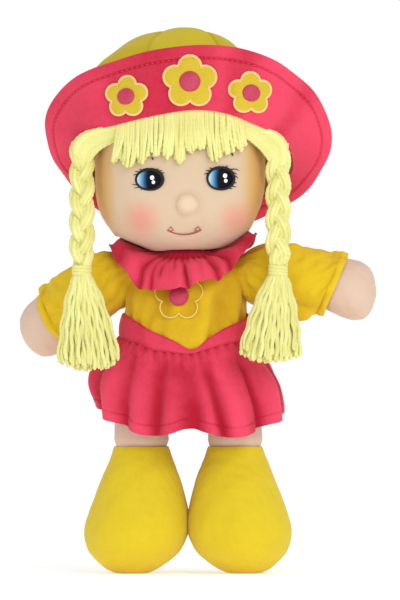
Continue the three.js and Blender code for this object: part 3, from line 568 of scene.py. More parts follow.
def make_object(name: str, surface: Surface) -> bpy.types.Object:
    """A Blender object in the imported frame, smooth but for sharp creases.

    Args:
        name: the name of the object and its mesh.
        surface: its shape, in the doll's own frame.

    Returns:
        The object, linked to the scene.
    """
    mesh = bpy.data.meshes.new(name)
    places = packed(surface.points)
    corners = np.concatenate([surface.quads.ravel(), surface.triangles.ravel()]).astype(np.int32)
    fours, threes = np.arange(len(surface.quads)), np.arange(len(surface.triangles))
    starts = np.concatenate([4 * fours, 4 * len(fours) + 3 * threes]).astype(np.int32)
    mesh.vertices.add(len(places))
    mesh.vertices.foreach_set("co", places.astype(np.float32).ravel())
    mesh.loops.add(len(corners))
    mesh.loops.foreach_set("vertex_index", corners)
    mesh.polygons.add(len(starts))
    mesh.polygons.foreach_set("loop_start", starts)
    mesh.update(calc_edges=True)
    layer = mesh.uv_layers.new(name="cloth")
    uv = np.concatenate([surface.quad_uv.reshape(-1, 2), surface.triangle_uv.reshape(-1, 2)])
    layer.data.foreach_set("uv", uv.astype(np.float32).ravel())
    # The value of painted shade and light, or of a yarn strand's own tone, kept as an attribute for the
    # material.
    if surface.tint is not None:
        tint = mesh.attributes.new("tint", "FLOAT", "POINT")
        tint.data.foreach_set("value", surface.tint.astype(np.float32))
    mesh.polygons.foreach_set("use_smooth", np.ones(len(starts), bool))
    mesh.set_sharp_from_angle(angle=CREASE)
    piece = bpy.data.objects.new(name, mesh)
    bpy.context.scene.collection.objects.link(piece)
    return piece


# Shader maths


class Wire:
    """A node's output that can be written in sums."""

    def __init__(self, tree: "Tree", socket: bpy.types.NodeSocket) -> None:
        """Keeps the output and the tree that it is in."""
        self.tree = tree
        self.socket = socket

    def math(self, operation: str, *others: "Wire | float") -> "Wire":
        """One Math node whose first value is this wire."""
        return self.tree.node("ShaderNodeMath", {"operation": operation}, self, *others)

    def __add__(self, other: "Wire | float") -> "Wire":
        """This plus another."""
        return self.math("ADD", other)

    def __sub__(self, other: "Wire | float") -> "Wire":
        """This less another."""
        return self.math("SUBTRACT", other)

    def __rsub__(self, other: float) -> "Wire":
        """A number less this."""
        return self.tree.node("ShaderNodeMath", {"operation": "SUBTRACT"}, other, self)

    def __mul__(self, other: "Wire | float") -> "Wire":
        """This times another."""
        return self.math("MULTIPLY", other)

    def __truediv__(self, other: "Wire | float") -> "Wire":
        """This over another."""
        return self.math("DIVIDE", other)

    # A sum and a product are the same from either side.
    __radd__ = __add__
    __rmul__ = __mul__

    def sine(self) -> "Wire":
        """The sine of this."""
        return self.math("SINE")

    def size(self) -> "Wire":
        """This without its sign."""
        return self.math("ABSOLUTE")

    def step(self, low: float, high: float) -> "Wire":
        """An even step from 0 where this is low to 1 where it is high."""
        settings = {"interpolation_type": "SMOOTHSTEP"}
        return self.tree.node("ShaderNodeMapRange", settings, self, low, high, 0.0, 1.0)


class Tree:
    """The node tree of one material, with its shader's constant sockets set from the start."""

    def __init__(
        self, name: str, roughness: float, shine: float, sheen: float = 0.0, nap: float = 0.5, **more: object
    ) -> None:
        """Makes the material and sets the numbers that are the same all over it.

        Args:
            name: the material's name.
            roughness: the shader's roughness.
            shine: its specular level.
            sheen: how much pale fuzz it shows at a slant.
            nap: how rough that fuzz is.
            more: other sockets by name, with _ for a blank.
        """
        self.material = bpy.data.materials.new(name)
        self.material.use_nodes = True
        self.nodes = self.material.node_tree.nodes
        self.links = self.material.node_tree.links
        self.shader = next(node for node in self.nodes if node.type == "BSDF_PRINCIPLED")
        sockets = {"Roughness": roughness, "Specular_IOR_Level": shine, **more}
        if sheen:
            sockets |= {"Sheen_Weight": sheen, "Sheen_Roughness": nap}
        for word, value in sockets.items():
            self.shader.inputs[word.replace("_", " ")].default_value = value

    def node(
        self, kind: str, settings: dict[str, object] | None = None, *values: object, **named: object
    ) -> Wire:
        """Adds a node.

        Args:
            kind: the node's type.
            settings: its own settings, which are set first. A ramp's are its stops.
            values: numbers, tuples or wires for its inputs, in their order.
            named: the same by the input's name, with _ for a blank.

        Returns:
            Its first output that is in use.
        """
        made = self.nodes.new(kind)
        for word, value in (settings or {}).items():
            if word == "stops":
                elements = made.color_ramp.elements
                while len(elements) < len(value):
                    elements.new(0.5)
                for element, (place, colour) in zip(elements, value):
                    element.position = place
                    element.color = (*colour, 1.0)
            else:
                setattr(made, word, value)
        inputs = [socket for socket in made.inputs if socket.enabled]
        pairs = list(zip(inputs, values)) + [(made.inputs[w.replace("_", " ")], v) for w, v in named.items()]
        for socket, value in pairs:
            self.put(socket, value)
        return Wire(self, next(socket for socket in made.outputs if socket.enabled))

    def put(self, socket: bpy.types.NodeSocket, value: object) -> None:
        """Sets an input to a number or a colour, or links a wire to it.

        Args:
            socket: the input.
            value: a number, a colour or a wire.
        """
        if isinstance(value, Wire):
            self.links.new(value.socket, socket)
        elif isinstance(value, tuple) and len(value) == 3 and socket.type == "RGBA":
            socket.default_value = (*value, 1.0)
        else:
            socket.default_value = value

    def feed(self, word: str, wire: Wire) -> None:
        """Links a wire to one of the shader's own inputs."""
        self.links.new(wire.socket, self.shader.inputs[word])

    def mix(self, share: Wire | float, low: object, high: object) -> Wire:
        """One colour or another by a share.

        Args:
            share: how much of the second there is.
            low: the first colour.
            high: the second colour.

        Returns:
            The mixed colour.
        """
        made = self.nodes.new("ShaderNodeMix")
        made.data_type = "RGBA"
        self.put(made.inputs[0], share)
        self.put(made.inputs[6], low)
        self.put(made.inputs[7], high)
        return Wire(self, made.outputs[2])

    def dye(self, share: Wire, deep: Vec, colour: Vec) -> None:
        """Gives the shader a colour between two, by an even step of the share."""
        self.feed("Base Color", self.mix(share.step(0.0, 1.0), deep, colour))

    def place(self) -> Wire:
        """The point on the piece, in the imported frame, in metres."""
        made = self.nodes.new("ShaderNodeTexCoord")
        return Wire(self, made.outputs["Object"])

    def cloth_place(self) -> tuple[Wire, Wire]:
        """The place on the cloth in millimetres, across and down."""
        made = self.nodes.new("ShaderNodeUVMap")
        made.uv_map = "cloth"
        return self.split(Wire(self, made.outputs[0]))[:2]

    def split(self, vector: Wire) -> tuple[Wire, Wire, Wire]:
        """A vector's three numbers.

        Args:
            vector: the vector.

        Returns:
            Its X, Y and Z.
        """
        made = self.nodes.new("ShaderNodeSeparateXYZ")
        self.links.new(vector.socket, made.inputs[0])
        return tuple(Wire(self, socket) for socket in made.outputs)

    def tint(self) -> Wire:
        """The value that the piece keeps at each point: painted shade and light, or a yarn strand's own tone.
        """
        made = self.nodes.new("ShaderNodeAttribute")
        made.attribute_name = "tint"
        return Wire(self, made.outputs["Fac"])

    def noise(self, size: float, detail: float = 3.0, rough: float = 0.55, stretch: Vec = (1, 1, 1)) -> Wire:
        """Cloudy values from 0 to 1 over the piece.

        Args:
            size: the length of the clouds in millimetres.
            detail: how many finer layers they have.
            rough: how strong those are.
            stretch: how much finer they are along X, Y and Z.

        Returns:
            The values.
        """
        settings = {"Scale": 1 / (size * METRES), "Detail": detail, "Roughness": rough}
        place = self.node("ShaderNodeMapping", None, self.place(), Scale=stretch)
        return self.node("ShaderNodeTexNoise", None, Vector=place, **settings)

    def bump(self, height: Wire, depth: float, strength: float) -> None:
        """Gives the shader a relief of the depth in millimetres."""
        made = self.node("ShaderNodeBump", None, Strength=strength, Distance=depth * METRES, Height=height)
        self.feed("Normal", made)


def linear(red: float, green: float, blue: float) -> Vec:
    """A screen colour as the light that it stands for.

    Args:
        red: the red part, from 0 to 255 as the others.
        green: the green part.
        blue: the blue part.

    Returns:
        The three parts of the light, from 0 to 1.
    """
    parts = np.array([red, green, blue]) / 255
    light = np.where(parts <= 0.04045, parts / 12.92, ((parts + 0.055) / 1.055) ** 2.4)
    return tuple(float(part) for part in light)


def shaded(colour: Vec, share: float) -> Vec:
    """A colour made darker or lighter."""
    return tuple(min(part * share, 1.0) for part in colour)


# Finishes


@dataclass(frozen=True)
class WovenCotton:
    """Plain woven cotton: crossing threads and clouds of dye, with painted shade: paler where the piece's
    shading value is high.
    """

    name: str
    colour: Vec
    deep: Vec
    thread: float = 0.62
    relief: float = 0.09
    cloud: float = 16.0

    def material(self) -> bpy.types.Material:
        """The material, with its threads along the cloth's own places."""
        tree = Tree(self.name, 0.86, 0.25, 0.12, 0.45)
        across, down = tree.cloth_place()
        warp = (across * (math.pi / self.thread)).sine()
        weft = (down * (math.pi / self.thread)).sine()
        weave = warp * weft
        slub = tree.noise(2.2, 2.0)
        cloud = tree.noise(self.cloud, 4.0)
        # The shading value paints shade and light into the colour, and the weave a faint painted shade at its
        # crossings; clouds and slubs are the dye's own.
        share = (cloud - 0.5) * 0.4 + (slub - 0.5) * 0.2 + weave * 0.05 + tree.tint()
        tree.dye(share, self.deep, self.colour)
        tree.bump(weave * 0.5 + slub * 0.9, self.relief, 0.6)
        return tree.material


@dataclass(frozen=True)
class BrushedKnit:
    """A fine brushed knit over stuffing: rows of tiny loops, a soft nap and, if any, blush blooms and an edge
    of painted shade and light.
    """

    name: str
    colour: Vec
    deep: Vec
    loop: float = 0.8
    blooms: tuple[Vec, ...] = ()
    bloom_colour: Vec = (0.8, 0.3, 0.25)
    # The colour of painted shade and reflected yellow light at the face's sides, where its shading value is
    # low.
    edge: Vec | None = None

    def material(self) -> bpy.types.Material:
        """The material, whose blooms are X, Z and radius in millimetres of the doll's own frame."""
        tree = Tree(self.name, 0.92, 0.2, 0.2)
        across, down = tree.cloth_place()
        ribs = (across * (TURN / self.loop)).sine()
        loops = (down * (TURN / self.loop)).sine()
        knit = (ribs + loops * 0.6).size()
        nap = tree.noise(1.4, 3.0)
        cloud = tree.noise(22.0, 3.0)
        share = (cloud - 0.5) * 0.5 + (nap - 0.5) * 0.3 + 0.75
        colour = tree.mix(share.step(0.0, 1.0), self.deep, self.colour)
        # Painted shade and reflected yellow light: towards the edge colour where the shading value is low.
        if self.edge:
            colour = tree.mix(tree.tint(), self.edge, colour)
        if self.blooms:
            x, y, z = tree.split(tree.place())
            front = (y * -1.0).step((-6 - SHIFT[1]) * METRES, (38 - SHIFT[1]) * METRES)
            for bloom_x, bloom_z, radius in self.blooms:
                off_x = (x - (bloom_x + SHIFT[0]) * METRES) / (radius * METRES)
                off_z = (z - bloom_z * METRES) / (radius * METRES)
                reach = (off_x * off_x + off_z * off_z).math("SQRT")
                share = (1.0 - reach.step(0.05, 1.45)) * front * 0.56
                colour = tree.mix(share, colour, self.bloom_colour)
        tree.feed("Base Color", colour)
        tree.bump(knit * 0.35 + nap, 0.07, 0.5)
        return tree.material


@dataclass(frozen=True)
class SoftYarn:
    """Acrylic yarn: each strand a little different, darker where its plies meet, with a fine fuzz and faint
    painted shade in spirals.
    """

    name: str
    colour: Vec
    deep: Vec

    def material(self) -> bpy.types.Material:
        """The material, with fibres along the strand and the strand's own tint."""
        tree = Tree(self.name, 0.8, 0.25, 0.35, 0.4)
        across, down = tree.cloth_place()
        fibre = ((across * 9.0 + down * 1.6).sine() + (across * 15.0 + down * 3.1).sine()) * 0.5
        fuzz = tree.noise(0.9, 2.0)
        cloud = tree.noise(14.0, 2.0)
        # The spiral fibre lines add a faint painted shade; the strand's value and the clouds are its own
        # uneven tone.
        share = tree.tint() * 0.5 + (cloud - 0.5) * 0.5 + (fuzz - 0.5) * 0.3 + fibre * 0.06 + 0.42
        tree.dye(share, self.deep, self.colour)
        tree.bump(fibre * 0.5 + fuzz, 0.14, 0.6)
        return tree.material


@dataclass(frozen=True)
class SatinStitch:
    """Close embroidery thread lying side by side, glossy along its length."""

    name: str
    colour: Vec
    deep: Vec
    pitch: float = 0.45
    slanted: bool = False

    def material(self) -> bpy.types.Material:
        """The material, whose threads lie across the row of stitches."""
        tree = Tree(self.name, 0.42, 0.5, 0.1)
        across, down = tree.cloth_place()
        line = (across * 0.8 + down) if self.slanted else down
        thread = (line * (TURN / self.pitch)).sine()
        patch = tree.noise(1.6, 2.0)
        # The thread wave paints shade in the gaps between threads and light along them; the patches are the
        # thread's own uneven tone.
        share = thread * 0.22 + (patch - 0.5) * 0.5 + 0.66
        tree.dye(share, self.deep, self.colour)
        tree.bump(thread * 0.5 + patch * 0.4, 0.12, 0.7)
        return tree.material


@dataclass(frozen=True)
class PressedFelt:
    """Pressed felt: short fibres lying every way, a little paler where they stand up: their own tone and
    painted light.
    """

    name: str
    colour: Vec
    deep: Vec

    def material(self) -> bpy.types.Material:
        """The material, from two sizes of stretched fibres."""
        tree = Tree(self.name, 0.95, 0.15, 0.25)
        fibres = tree.noise(0.8, 4.0, 0.7, (1.0, 1.0, 2.6))
        more = tree.noise(1.1, 4.0, 0.7, (2.4, 1.0, 0.8))
        cloud = tree.noise(9.0, 2.0)
        # Paler where the fibres stand up in the relief: partly their own uneven tone, partly painted light.
        share = (fibres - 0.5) * 0.6 + (more - 0.5) * 0.6 + (cloud - 0.5) * 0.4 + 0.7
        tree.dye(share, self.deep, self.colour)
        tree.bump(fibres + more, 0.16, 0.7)
        return tree.material


@dataclass(frozen=True)
class PlainThread:
    """A thread of one colour with a fine twist."""

    name: str
    colour: Vec
    roughness: float = 0.6

    def material(self) -> bpy.types.Material:
        """The material, with the twist as a slight relief."""
        tree = Tree(self.name, self.roughness, 0.3, Base_Color=(*self.colour, 1.0))
        across, down = tree.cloth_place()
        tree.bump((down * 7.0 + across * 3.0).sine(), 0.05, 0.5)
        return tree.material


@dataclass(frozen=True)
class EyePrint:
    """The print of one eye: a pale crescent at the doll's right that turns blue and then nearly black."""

    name: str
    centre: tuple[float, float]
    half: tuple[float, float]
    white: Vec = (0.78, 0.88, 0.93)
    light: Vec = (0.2, 0.44, 0.62)
    blue: Vec = (0.025, 0.12, 0.27)
    navy: Vec = (0.004, 0.014, 0.05)
    dark: Vec = (0.003, 0.003, 0.007)

    def material(self) -> bpy.types.Material:
        """The material, from the distance to a point a little to the doll's left of the middle."""
        tree = Tree(self.name, 0.6, 0.12)
        x, _, z = tree.split(tree.place())
        across = (x - (self.centre[0] + SHIFT[0]) * METRES) / (self.half[0] * METRES)
        up = (z - self.centre[1] * METRES) / (self.half[1] * METRES)
        off = across - 0.42
        left = off.math("MINIMUM", 0.0)
        reach = (left * left + up * up * 0.12).math("SQRT")
        grain = tree.noise(0.6, 2.0)
        stops = zip((0.3, 0.38, 0.48, 0.64, 0.82), (self.dark, self.navy, self.blue, self.light, self.white))
        ramp = {"stops": tuple(stops)}
        tree.feed("Base Color", tree.node("ShaderNodeValToRGB", ramp, reach * 0.6 + (grain - 0.5) * 0.03))
        weave = ((x + z) * (TURN / (0.35 * METRES))).sine()
        tree.bump(weave, 0.03, 0.5)
        return tree.material


# Forms of the doll


@dataclass(frozen=True)
class HeadForm:
    """The stuffed head: wide cheeks, rounder from front to back than from side to side.

    At each height the outline is a rounded oval, and its size follows a squarer curve up and down. The face
    then stands out or sinks a little at its cheeks, eyes, nose and mouth.
    """

    centre: Vec = (-3.5, -4.0, 258.5)
    half: Vec = (54.5, 47.0, 51.5)
    round_power: float = 2.25
    rise_power: float = 2.75
    nose: tuple[float, float] = (1.2, 235.5)
    face_depths: tuple[float, float] = (8, 26)
    mouth_middle: float = -0.8
    ground: Ripple = Ripple(3, 34.0)
    fine: Ripple = Ripple(4, 9.0)

    def mouth_height(self, x: Array) -> Array:
        """The height of the mouth's line, which sags between its corners."""
        share = np.clip((x - self.mouth_middle) / 10.8, -1, 1)
        return 216.3 + 2.9 * share * share

    def relief(self, x: Array, z: Array) -> Array:
        """How far the face stands out from its plain form, as a sum of bells.

        Args:
            x: where across.
            z: how high.

        Returns:
            Millimetres towards the front.
        """
        cheeks = 1.5 * (bell(x, -33, 17) + bell(x, 27, 17)) * bell(z, 229, 14)
        sockets = -0.7 * (bell(x, -22.9, 12) + bell(x, 22.4, 12)) * bell(z, 251, 10)
        reach = np.hypot(x - self.nose[0], z - self.nose[1])
        pucker = -0.9 * bell(reach, 7.6, 2.0) + 0.4 * bell(reach, 11.5, 3)
        lips = -0.7 * bell(z, self.mouth_height(x), 1.6) * (1 - smooth(np.abs(x - self.mouth_middle), 9, 13))
        chin = 0.8 * bell(x, 0, 16) * bell(z, 211, 7)
        return cheeks + sockets + pucker + lips + chin

    def skin(self, turn: Array, tilt: Array, offset: Array | float = 0.0) -> Array:
        """Points of the head by angles round it and up it.

        Args:
            turn: angles from the front, by the doll's left.
            tilt: angles up from mid height.
            offset: how far out from the form they are.

        Returns:
            The points.
        """
        rise = powered(np.sin(tilt), 2 / self.rise_power)
        spread = np.maximum(np.cos(tilt), 0) ** (2 / self.rise_power)
        x = self.centre[0] + (self.half[0] + offset) * spread * powered(np.sin(turn), 2 / self.round_power)
        y = self.centre[1] - (self.half[1] + offset) * spread * powered(np.cos(turn), 2 / self.round_power)
        z = self.centre[2] + (self.half[2] + offset) * rise
        y = y - self.relief(x, z) * smooth(self.centre[1] - y, *self.face_depths)
        return stacked(x, y, z)

    def front(self, x: Array, z: Array, offset: Array | float = 0.0) -> Array:
        """Points of the face by X and Z, from the outline's own equation.

        Args:
            x: where across.
            z: how high.
            offset: how far out from the form they are.

        Returns:
            The points.
        """
        rise = np.clip(np.abs(z - self.centre[2]) / (self.half[2] + offset), 0, 0.999)
        spread = (1 - rise**self.rise_power) ** (1 / self.rise_power)
        share = np.clip(np.abs(x - self.centre[0]) / ((self.half[0] + offset) * spread), 0, 0.999)
        depth = (self.half[1] + offset) * spread * (1 - share**self.round_power) ** (1 / self.round_power)
        y = self.centre[1] - depth - self.relief(x, z) * smooth(depth, *self.face_depths)
        return stacked(x, y, z)

    def laid(self, centre: Sequence[float]) -> Callable[[Array, Array], Array]:
        """What puts flat points round a centre, given as X and Z, on the face at a lift."""
        return lambda flat, lift: self.front(centre[0] + flat[..., 0], centre[1] + flat[..., 1], lift)

    def under(self, x: Array, y: Array) -> Array:
        """The height of the head's underside at a place, from the same equation.

        Args:
            x: where across.
            y: where from front to back.

        Returns:
            The heights.
        """
        across = np.abs(x - self.centre[0]) / self.half[0]
        deep = np.abs(y - self.centre[1]) / self.half[1]
        share = (across**self.round_power + deep**self.round_power) ** (1 / self.round_power)
        rise = (1 - np.minimum(share, 0.97) ** self.rise_power) ** (1 / self.rise_power)
        return self.centre[2] - self.half[2] * rise


class HatForm:
    """The sun hat: a dome on a slanted seam ring, and a brim from the same ring that turns up at the front.

    A place round the hat is a share of the turn, from the front by the doll's left. A place out on the brim
    is 0 at the seam and 1 at the rim.
    """

    CENTRE = np.array([2.0, 4.0, 266.5])
    RIM_CENTRE = np.array([2.0, 9.0, 279.0])
    APEX = np.array([-7.0, 21.0, 78.0])
    # Where the brim starts inside the crown, as a place out on it.
    ROOT = -0.06
    SEAM_REACH = (68.0, 52.0, 31.0)
    SEAM_SHARES = (
        (0, -1, 0.99), (0.36, -0.98, 0.93), (0.66, -0.84, 0.66), (0.89, -0.52, 0.38), (0.98, -0.1, -0.02),
        (0.94, 0.28, -0.42), (0.74, 0.64, -0.75), (0.4, 0.92, -0.95), (0, 1, -1), (-0.4, 0.92, -0.95),
        (-0.76, 0.64, -0.75), (-1, 0.28, -0.4), (-1.07, -0.1, 0.05), (-0.97, -0.5, 0.47),
        (-0.72, -0.84, 0.66), (-0.38, -0.98, 0.85),
    )
    RIM_REACH = (91.0, 60.0, 57.0)
    RIM_SHARES = (
        (0, -0.9, 1), (0.36, -0.87, 0.98), (0.69, -0.66, 0.76), (0.91, -0.4, 0.42), (0.99, -0.1, -0.05),
        (0.89, 0.14, -0.5), (0.7, 0.48, -0.73), (0.36, 0.9, -0.95), (0, 1.06, -1), (-0.36, 0.9, -0.96),
        (-0.66, 0.44, -0.8), (-0.88, 0.12, -0.42), (-0.99, -0.12, 0), (-0.94, -0.34, 0.42),
        (-0.7, -0.62, 0.72), (-0.36, -0.85, 0.92),
    )
    THICKNESS = 3.0
    HEM = 8.7
    # The waves of the brim: how high each is, how many go round and where it starts.
    WAVES = ((1.5, 5, 0.7), (1.1, 8, 2.1), (0.6, 13, 0.0))

    def __init__(self) -> None:
        """Joins the stations of the seam and the rim into closed curves."""
        self.seam = Loop(np.array(self.SEAM_SHARES) * self.SEAM_REACH)
        self.rim = Loop(np.array(self.RIM_SHARES) * self.RIM_REACH + self.RIM_CENTRE)
        self.ground = Ripple(21, 30.0)

    def crown(self, place: Array, lift: Array, offset: Array | float = 0.0) -> Array:
        """Points of the dome: the seam's point shrinks with a cosine as the apex grows with a sine.

        Args:
            place: shares of the turn round the hat.
            lift: shares of the way up from the seam.
            offset: how far out from the form they are.

        Returns:
            The points.
        """
        base = self.seam(place)
        length = np.linalg.norm(base, axis=-1, keepdims=True)
        grown = base * (1 + np.asarray(offset)[..., None] / length)
        apex = self.APEX * (1 + np.asarray(offset)[..., None] / self.APEX[2])
        angle = (lift * math.pi / 2)[..., None]
        return self.CENTRE + grown * np.cos(angle) + apex * np.sin(angle)

    def flat_brim(self, place: Array, out: Array) -> Array:
        """Points of the brim's under face before it is shaped.

        Args:
            place: shares of the turn round the hat.
            out: shares of the way from the seam to the rim.

        Returns:
            The points.
        """
        base = self.seam(place)
        inner = self.CENTRE + base * (1 + 0.3 / np.linalg.norm(base, axis=-1, keepdims=True))
        return inner + (self.rim(place) - inner) * out[..., None]

    def facing(self, place: Array, out: Array) -> Array:
        """The way that the brim's worn face looks.

        Args:
            place: shares of the turn round the hat.
            out: shares of the way from the seam to the rim.

        Returns:
            Unit vectors.
        """
        along = self.flat_brim(place + 0.004, out) - self.flat_brim(place - 0.004, out)
        outward = self.flat_brim(place, np.ones_like(out)) - self.flat_brim(place, np.zeros_like(out))
        return unit(np.cross(along, outward))

    def width(self, place: Array) -> Array:
        """How wide the brim is there."""
        one = np.ones_like(place)
        return np.linalg.norm(self.flat_brim(place, one) - self.flat_brim(place, 0 * one), axis=-1)

    def brim(self, place: Array, out: Array, lift: Array | float) -> Array:
        """Points over the brim's under face by a lift, with its puffed middle, its soft waves and its hem.

        Args:
            place: shares of the turn round the hat.
            out: shares of the way from the seam to the rim.
            lift: how far over the under face they are.

        Returns:
            The points.
        """
        out = out * np.ones_like(place)
        from_edge = (1 - out) * self.width(place)
        puff = 1.7 * np.sin(math.pi * np.clip(out, 0, 1)) ** 0.8
        wave = sum(high * np.sin(number * (TURN * place) + start) for high, number, start in self.WAVES)
        wave = wave * np.clip(out, 0, 1) ** 1.5
        near_crease = bell(place, 0.063 - 0.014 * out, 0.006)
        near_crease = near_crease * smooth(out, 0, 0.3) * (1 - smooth(out, 0.75, 1))
        far_crease = bell(place, 0.158, 0.008) * (1 - smooth(out, 0.6, 1))
        groove = -0.7 * bell(from_edge, self.HEM, 0.75)
        base = self.flat_brim(place, out)
        rough = 0.45 * self.ground(base)
        height = lift + puff + wave - 2.3 * near_crease - 1.6 * far_crease + rough
        height = height + groove * np.sign(np.asarray(lift) - 0.5 * self.THICKNESS)
        return base + self.facing(place, out) * height[..., None]

    def edge(self, x: Array) -> tuple[Array, Array]:
        """The brim's inner edge over the face.

        Args:
            x: where across.

        Returns:
            The Y and the Z there.
        """
        place = np.linspace(-0.2, 0.2, 121)
        points = self.brim(place, np.full(121, self.ROOT), 0.5 * self.THICKNESS)
        return np.interp(x, points[:, 0], points[:, 1]), np.interp(x, points[:, 0], points[:, 2])

    def on_brim(self, centre: tuple[float, float], flat: Array, lift: Array | float) -> Array:
        """Lays flat points on the brim's worn face round a centre, by three steps of Newton's method.

        Args:
            centre: the place round the hat and out on the brim of the flat origin.
            flat: points (..., 2), across and up.
            lift: how far over the worn face.

        Returns:
            Points on the brim.
        """
        place, out = (np.full(flat.shape[:-1], share) for share in centre)
        origin = self.flat_brim(place, out)
        normal = self.facing(place, out)
        up = unit(UP - normal * normal[..., 2:])
        across = unit(np.cross(up, normal))
        small, rounds = 0.001, 3
        for _ in range(rounds):
            here = self.flat_brim(place, out) - origin
            by_place = (self.flat_brim(place + small, out) - origin - here) / small
            by_out = (self.flat_brim(place, out + small) - origin - here) / small
            miss = flat - stacked((here * across).sum(-1), (here * up).sum(-1))
            a, b = (by_place * across).sum(-1), (by_out * across).sum(-1)
            c, d = (by_place * up).sum(-1), (by_out * up).sum(-1)
            scale = a * d - b * c
            place = place + (d * miss[..., 0] - b * miss[..., 1]) / scale
            out = out + (a * miss[..., 1] - c * miss[..., 0]) / scale
        return self.brim(place, out, self.THICKNESS + lift)


@dataclass(frozen=True)
class TrunkForm:
    """The stuffed trunk: level rounded outlines whose sizes are read from a table of heights."""

    bottom: float = 111.0
    top: float = 200.0
    half: tuple[float, float] = (37.5, 27.0)
    power: float = 2.3
    shares: tuple[tuple[float, ...], ...] = (
        (0, 0.3, 0.3, 0), (0.04, 0.66, 0.62, 0), (0.12, 0.92, 0.9, 0.02), (0.28, 1, 1, 0.04),
        (0.45, 0.99, 1, 0.04), (0.65, 0.93, 0.9, 0.02), (0.8, 0.92, 0.8, 0), (0.9, 0.88, 0.68, 0),
        (0.97, 0.68, 0.54, 0), (1, 0.42, 0.42, 0),
    )

    def sizes(self, height: Array, offset: Array | float) -> tuple[Array, Array, Array]:
        """The outline's sizes at a height.

        Args:
            height: how high.
            offset: how much is added to both halves.

        Returns:
            The half width, the half depth and the Y of the middle.
        """
        share = np.clip((height - self.bottom) / (self.top - self.bottom), 0, 1)
        width, depth, forward = table_at(self.shares, share)
        return width * self.half[0] + offset, depth * self.half[1] + offset, -forward * self.half[1]

    def skin(self, turn: Array, height: Array, offset: Array | float) -> Array:
        """Points of the trunk at an angle round it and a height.

        Args:
            turn: angles from the front, by the doll's left.
            height: how high.
            offset: how far out from the form they are.

        Returns:
            The points.
        """
        width, depth, middle = self.sizes(height, offset)
        x = width * powered(np.sin(turn), 2 / self.power)
        y = middle - depth * powered(np.cos(turn), 2 / self.power)
        return stacked(x, y, height)

    def front(self, x: Array, z: Array, offset: Array | float) -> Array:
        """Points of the trunk's front by X and Z.

        Args:
            x: where across.
            z: how high.
            offset: how far out from the form they are.

        Returns:
            The points.
        """
        width, depth, middle = self.sizes(z, offset)
        across = np.clip(np.abs(x) / width, 0, 0.999)
        y = middle - depth * (1 - across**self.power) ** (1 / self.power)
        return stacked(x, y, z)


@dataclass(frozen=True)
class ArmForm:
    """An arm drawn along +X from the shoulder and then turned to its side's place."""

    length: float = 78.0
    droop: float = 7.0
    hand: float = 18.6
    shoulder: Vec = (43.5, 0.0, 191.0)
    right_turns: tuple[float, float] = (28.0, 31.0)
    left_turns: tuple[float, float] = (0.0, 4.0)
    shares: tuple[tuple[float, float], ...] = (
        (-0.3, 0.5), (0, 0.785), (0.2, 0.8), (0.45, 0.86), (0.62, 0.93), (0.78, 1.0), (0.88, 0.96),
        (0.94, 0.83), (0.98, 0.58), (1.0, 0.3), (1.01, 0.12),
    )

    def middle(self, along: Array) -> Array:
        """The arm's middle line, which droops with the square of the way along it."""
        return stacked(self.length * along, 0, -self.droop * along * along)

    def tube(self, along: Array, angle: Array, radius: Array) -> Array:
        """Points round the middle line, with angle zero at the back and a quarter turn at the top."""
        ring = stacked(0, np.cos(angle), np.sin(angle))
        return self.middle(along) + ring * radius[..., None]

    def placed(self, points: Array, side: Side) -> Array:
        """Local points mirrored, turned back and down by the side's degrees, and moved to the shoulder.

        Args:
            points: points of the arm along +X.
            side: the side of the doll.

        Returns:
            The points in the doll's own frame.
        """
        turns = self.right_turns if side is Side.RIGHT else self.left_turns
        back, below = (math.radians(turn) * side.value for turn in turns)
        x, y, z = points[..., 0] * side.value, points[..., 1], points[..., 2]
        x, y = x * math.cos(back) - y * math.sin(back), x * math.sin(back) + y * math.cos(back)
        x, z = x * math.cos(below) + z * math.sin(below), -x * math.sin(below) + z * math.cos(below)
        return stacked(x + side.value * self.shoulder[0], y, z + self.shoulder[2])


HEAD = HeadForm()
HAT = HatForm()
TRUNK = TrunkForm()
ARM = ArmForm()
HIP_HEIGHT = 124.0
HIP_MIDDLE = 1.7
HIP_REACH = 30.0
WAIST_DIPS = (
    (-60, 0), (-40.5, 0.3), (-25, 9.2), (-8.6, 16.9), (4.3, 22.7), (14.4, 15.9), (25.3, 9.2), (38.7, 3.4),
    (48, 0), (60, 0),
)
WAIST_TOP = 166.0


def hip_x(side: Side) -> float:
    """Where a hip is across."""
    return HIP_MIDDLE + HIP_REACH * side.value


def waist_line(x: Array, y: Array) -> Array:
    """The height of the waist, which dips to a point at the front."""
    return WAIST_TOP - table_at(WAIST_DIPS, x)[0] * smooth(-y, -4, 10)


def flower_outline(radius: float, sides: int = 150) -> Array:
    """Five round petals, one pointing up: the radius falls towards each notch with the fifth half cosine.

    Args:
        radius: how far the petals reach.
        sides: how many points there are.

    Returns:
        The rim (sides, 2), across and up.
    """
    angle = TURN * np.arange(sides) / sides
    lobe = np.abs(np.cos(2.5 * angle)) ** 0.72
    reach = radius * (1 - 0.31 * (1 - lobe))
    return stacked(reach * np.sin(angle), reach * np.cos(angle))


def oval_outline(half_width: float, half_height: float, sides: int = 64) -> Array:
    """An upright oval."""
    angle = TURN * np.arange(sides) / sides
    return stacked(half_width * np.sin(angle), half_height * np.cos(angle))


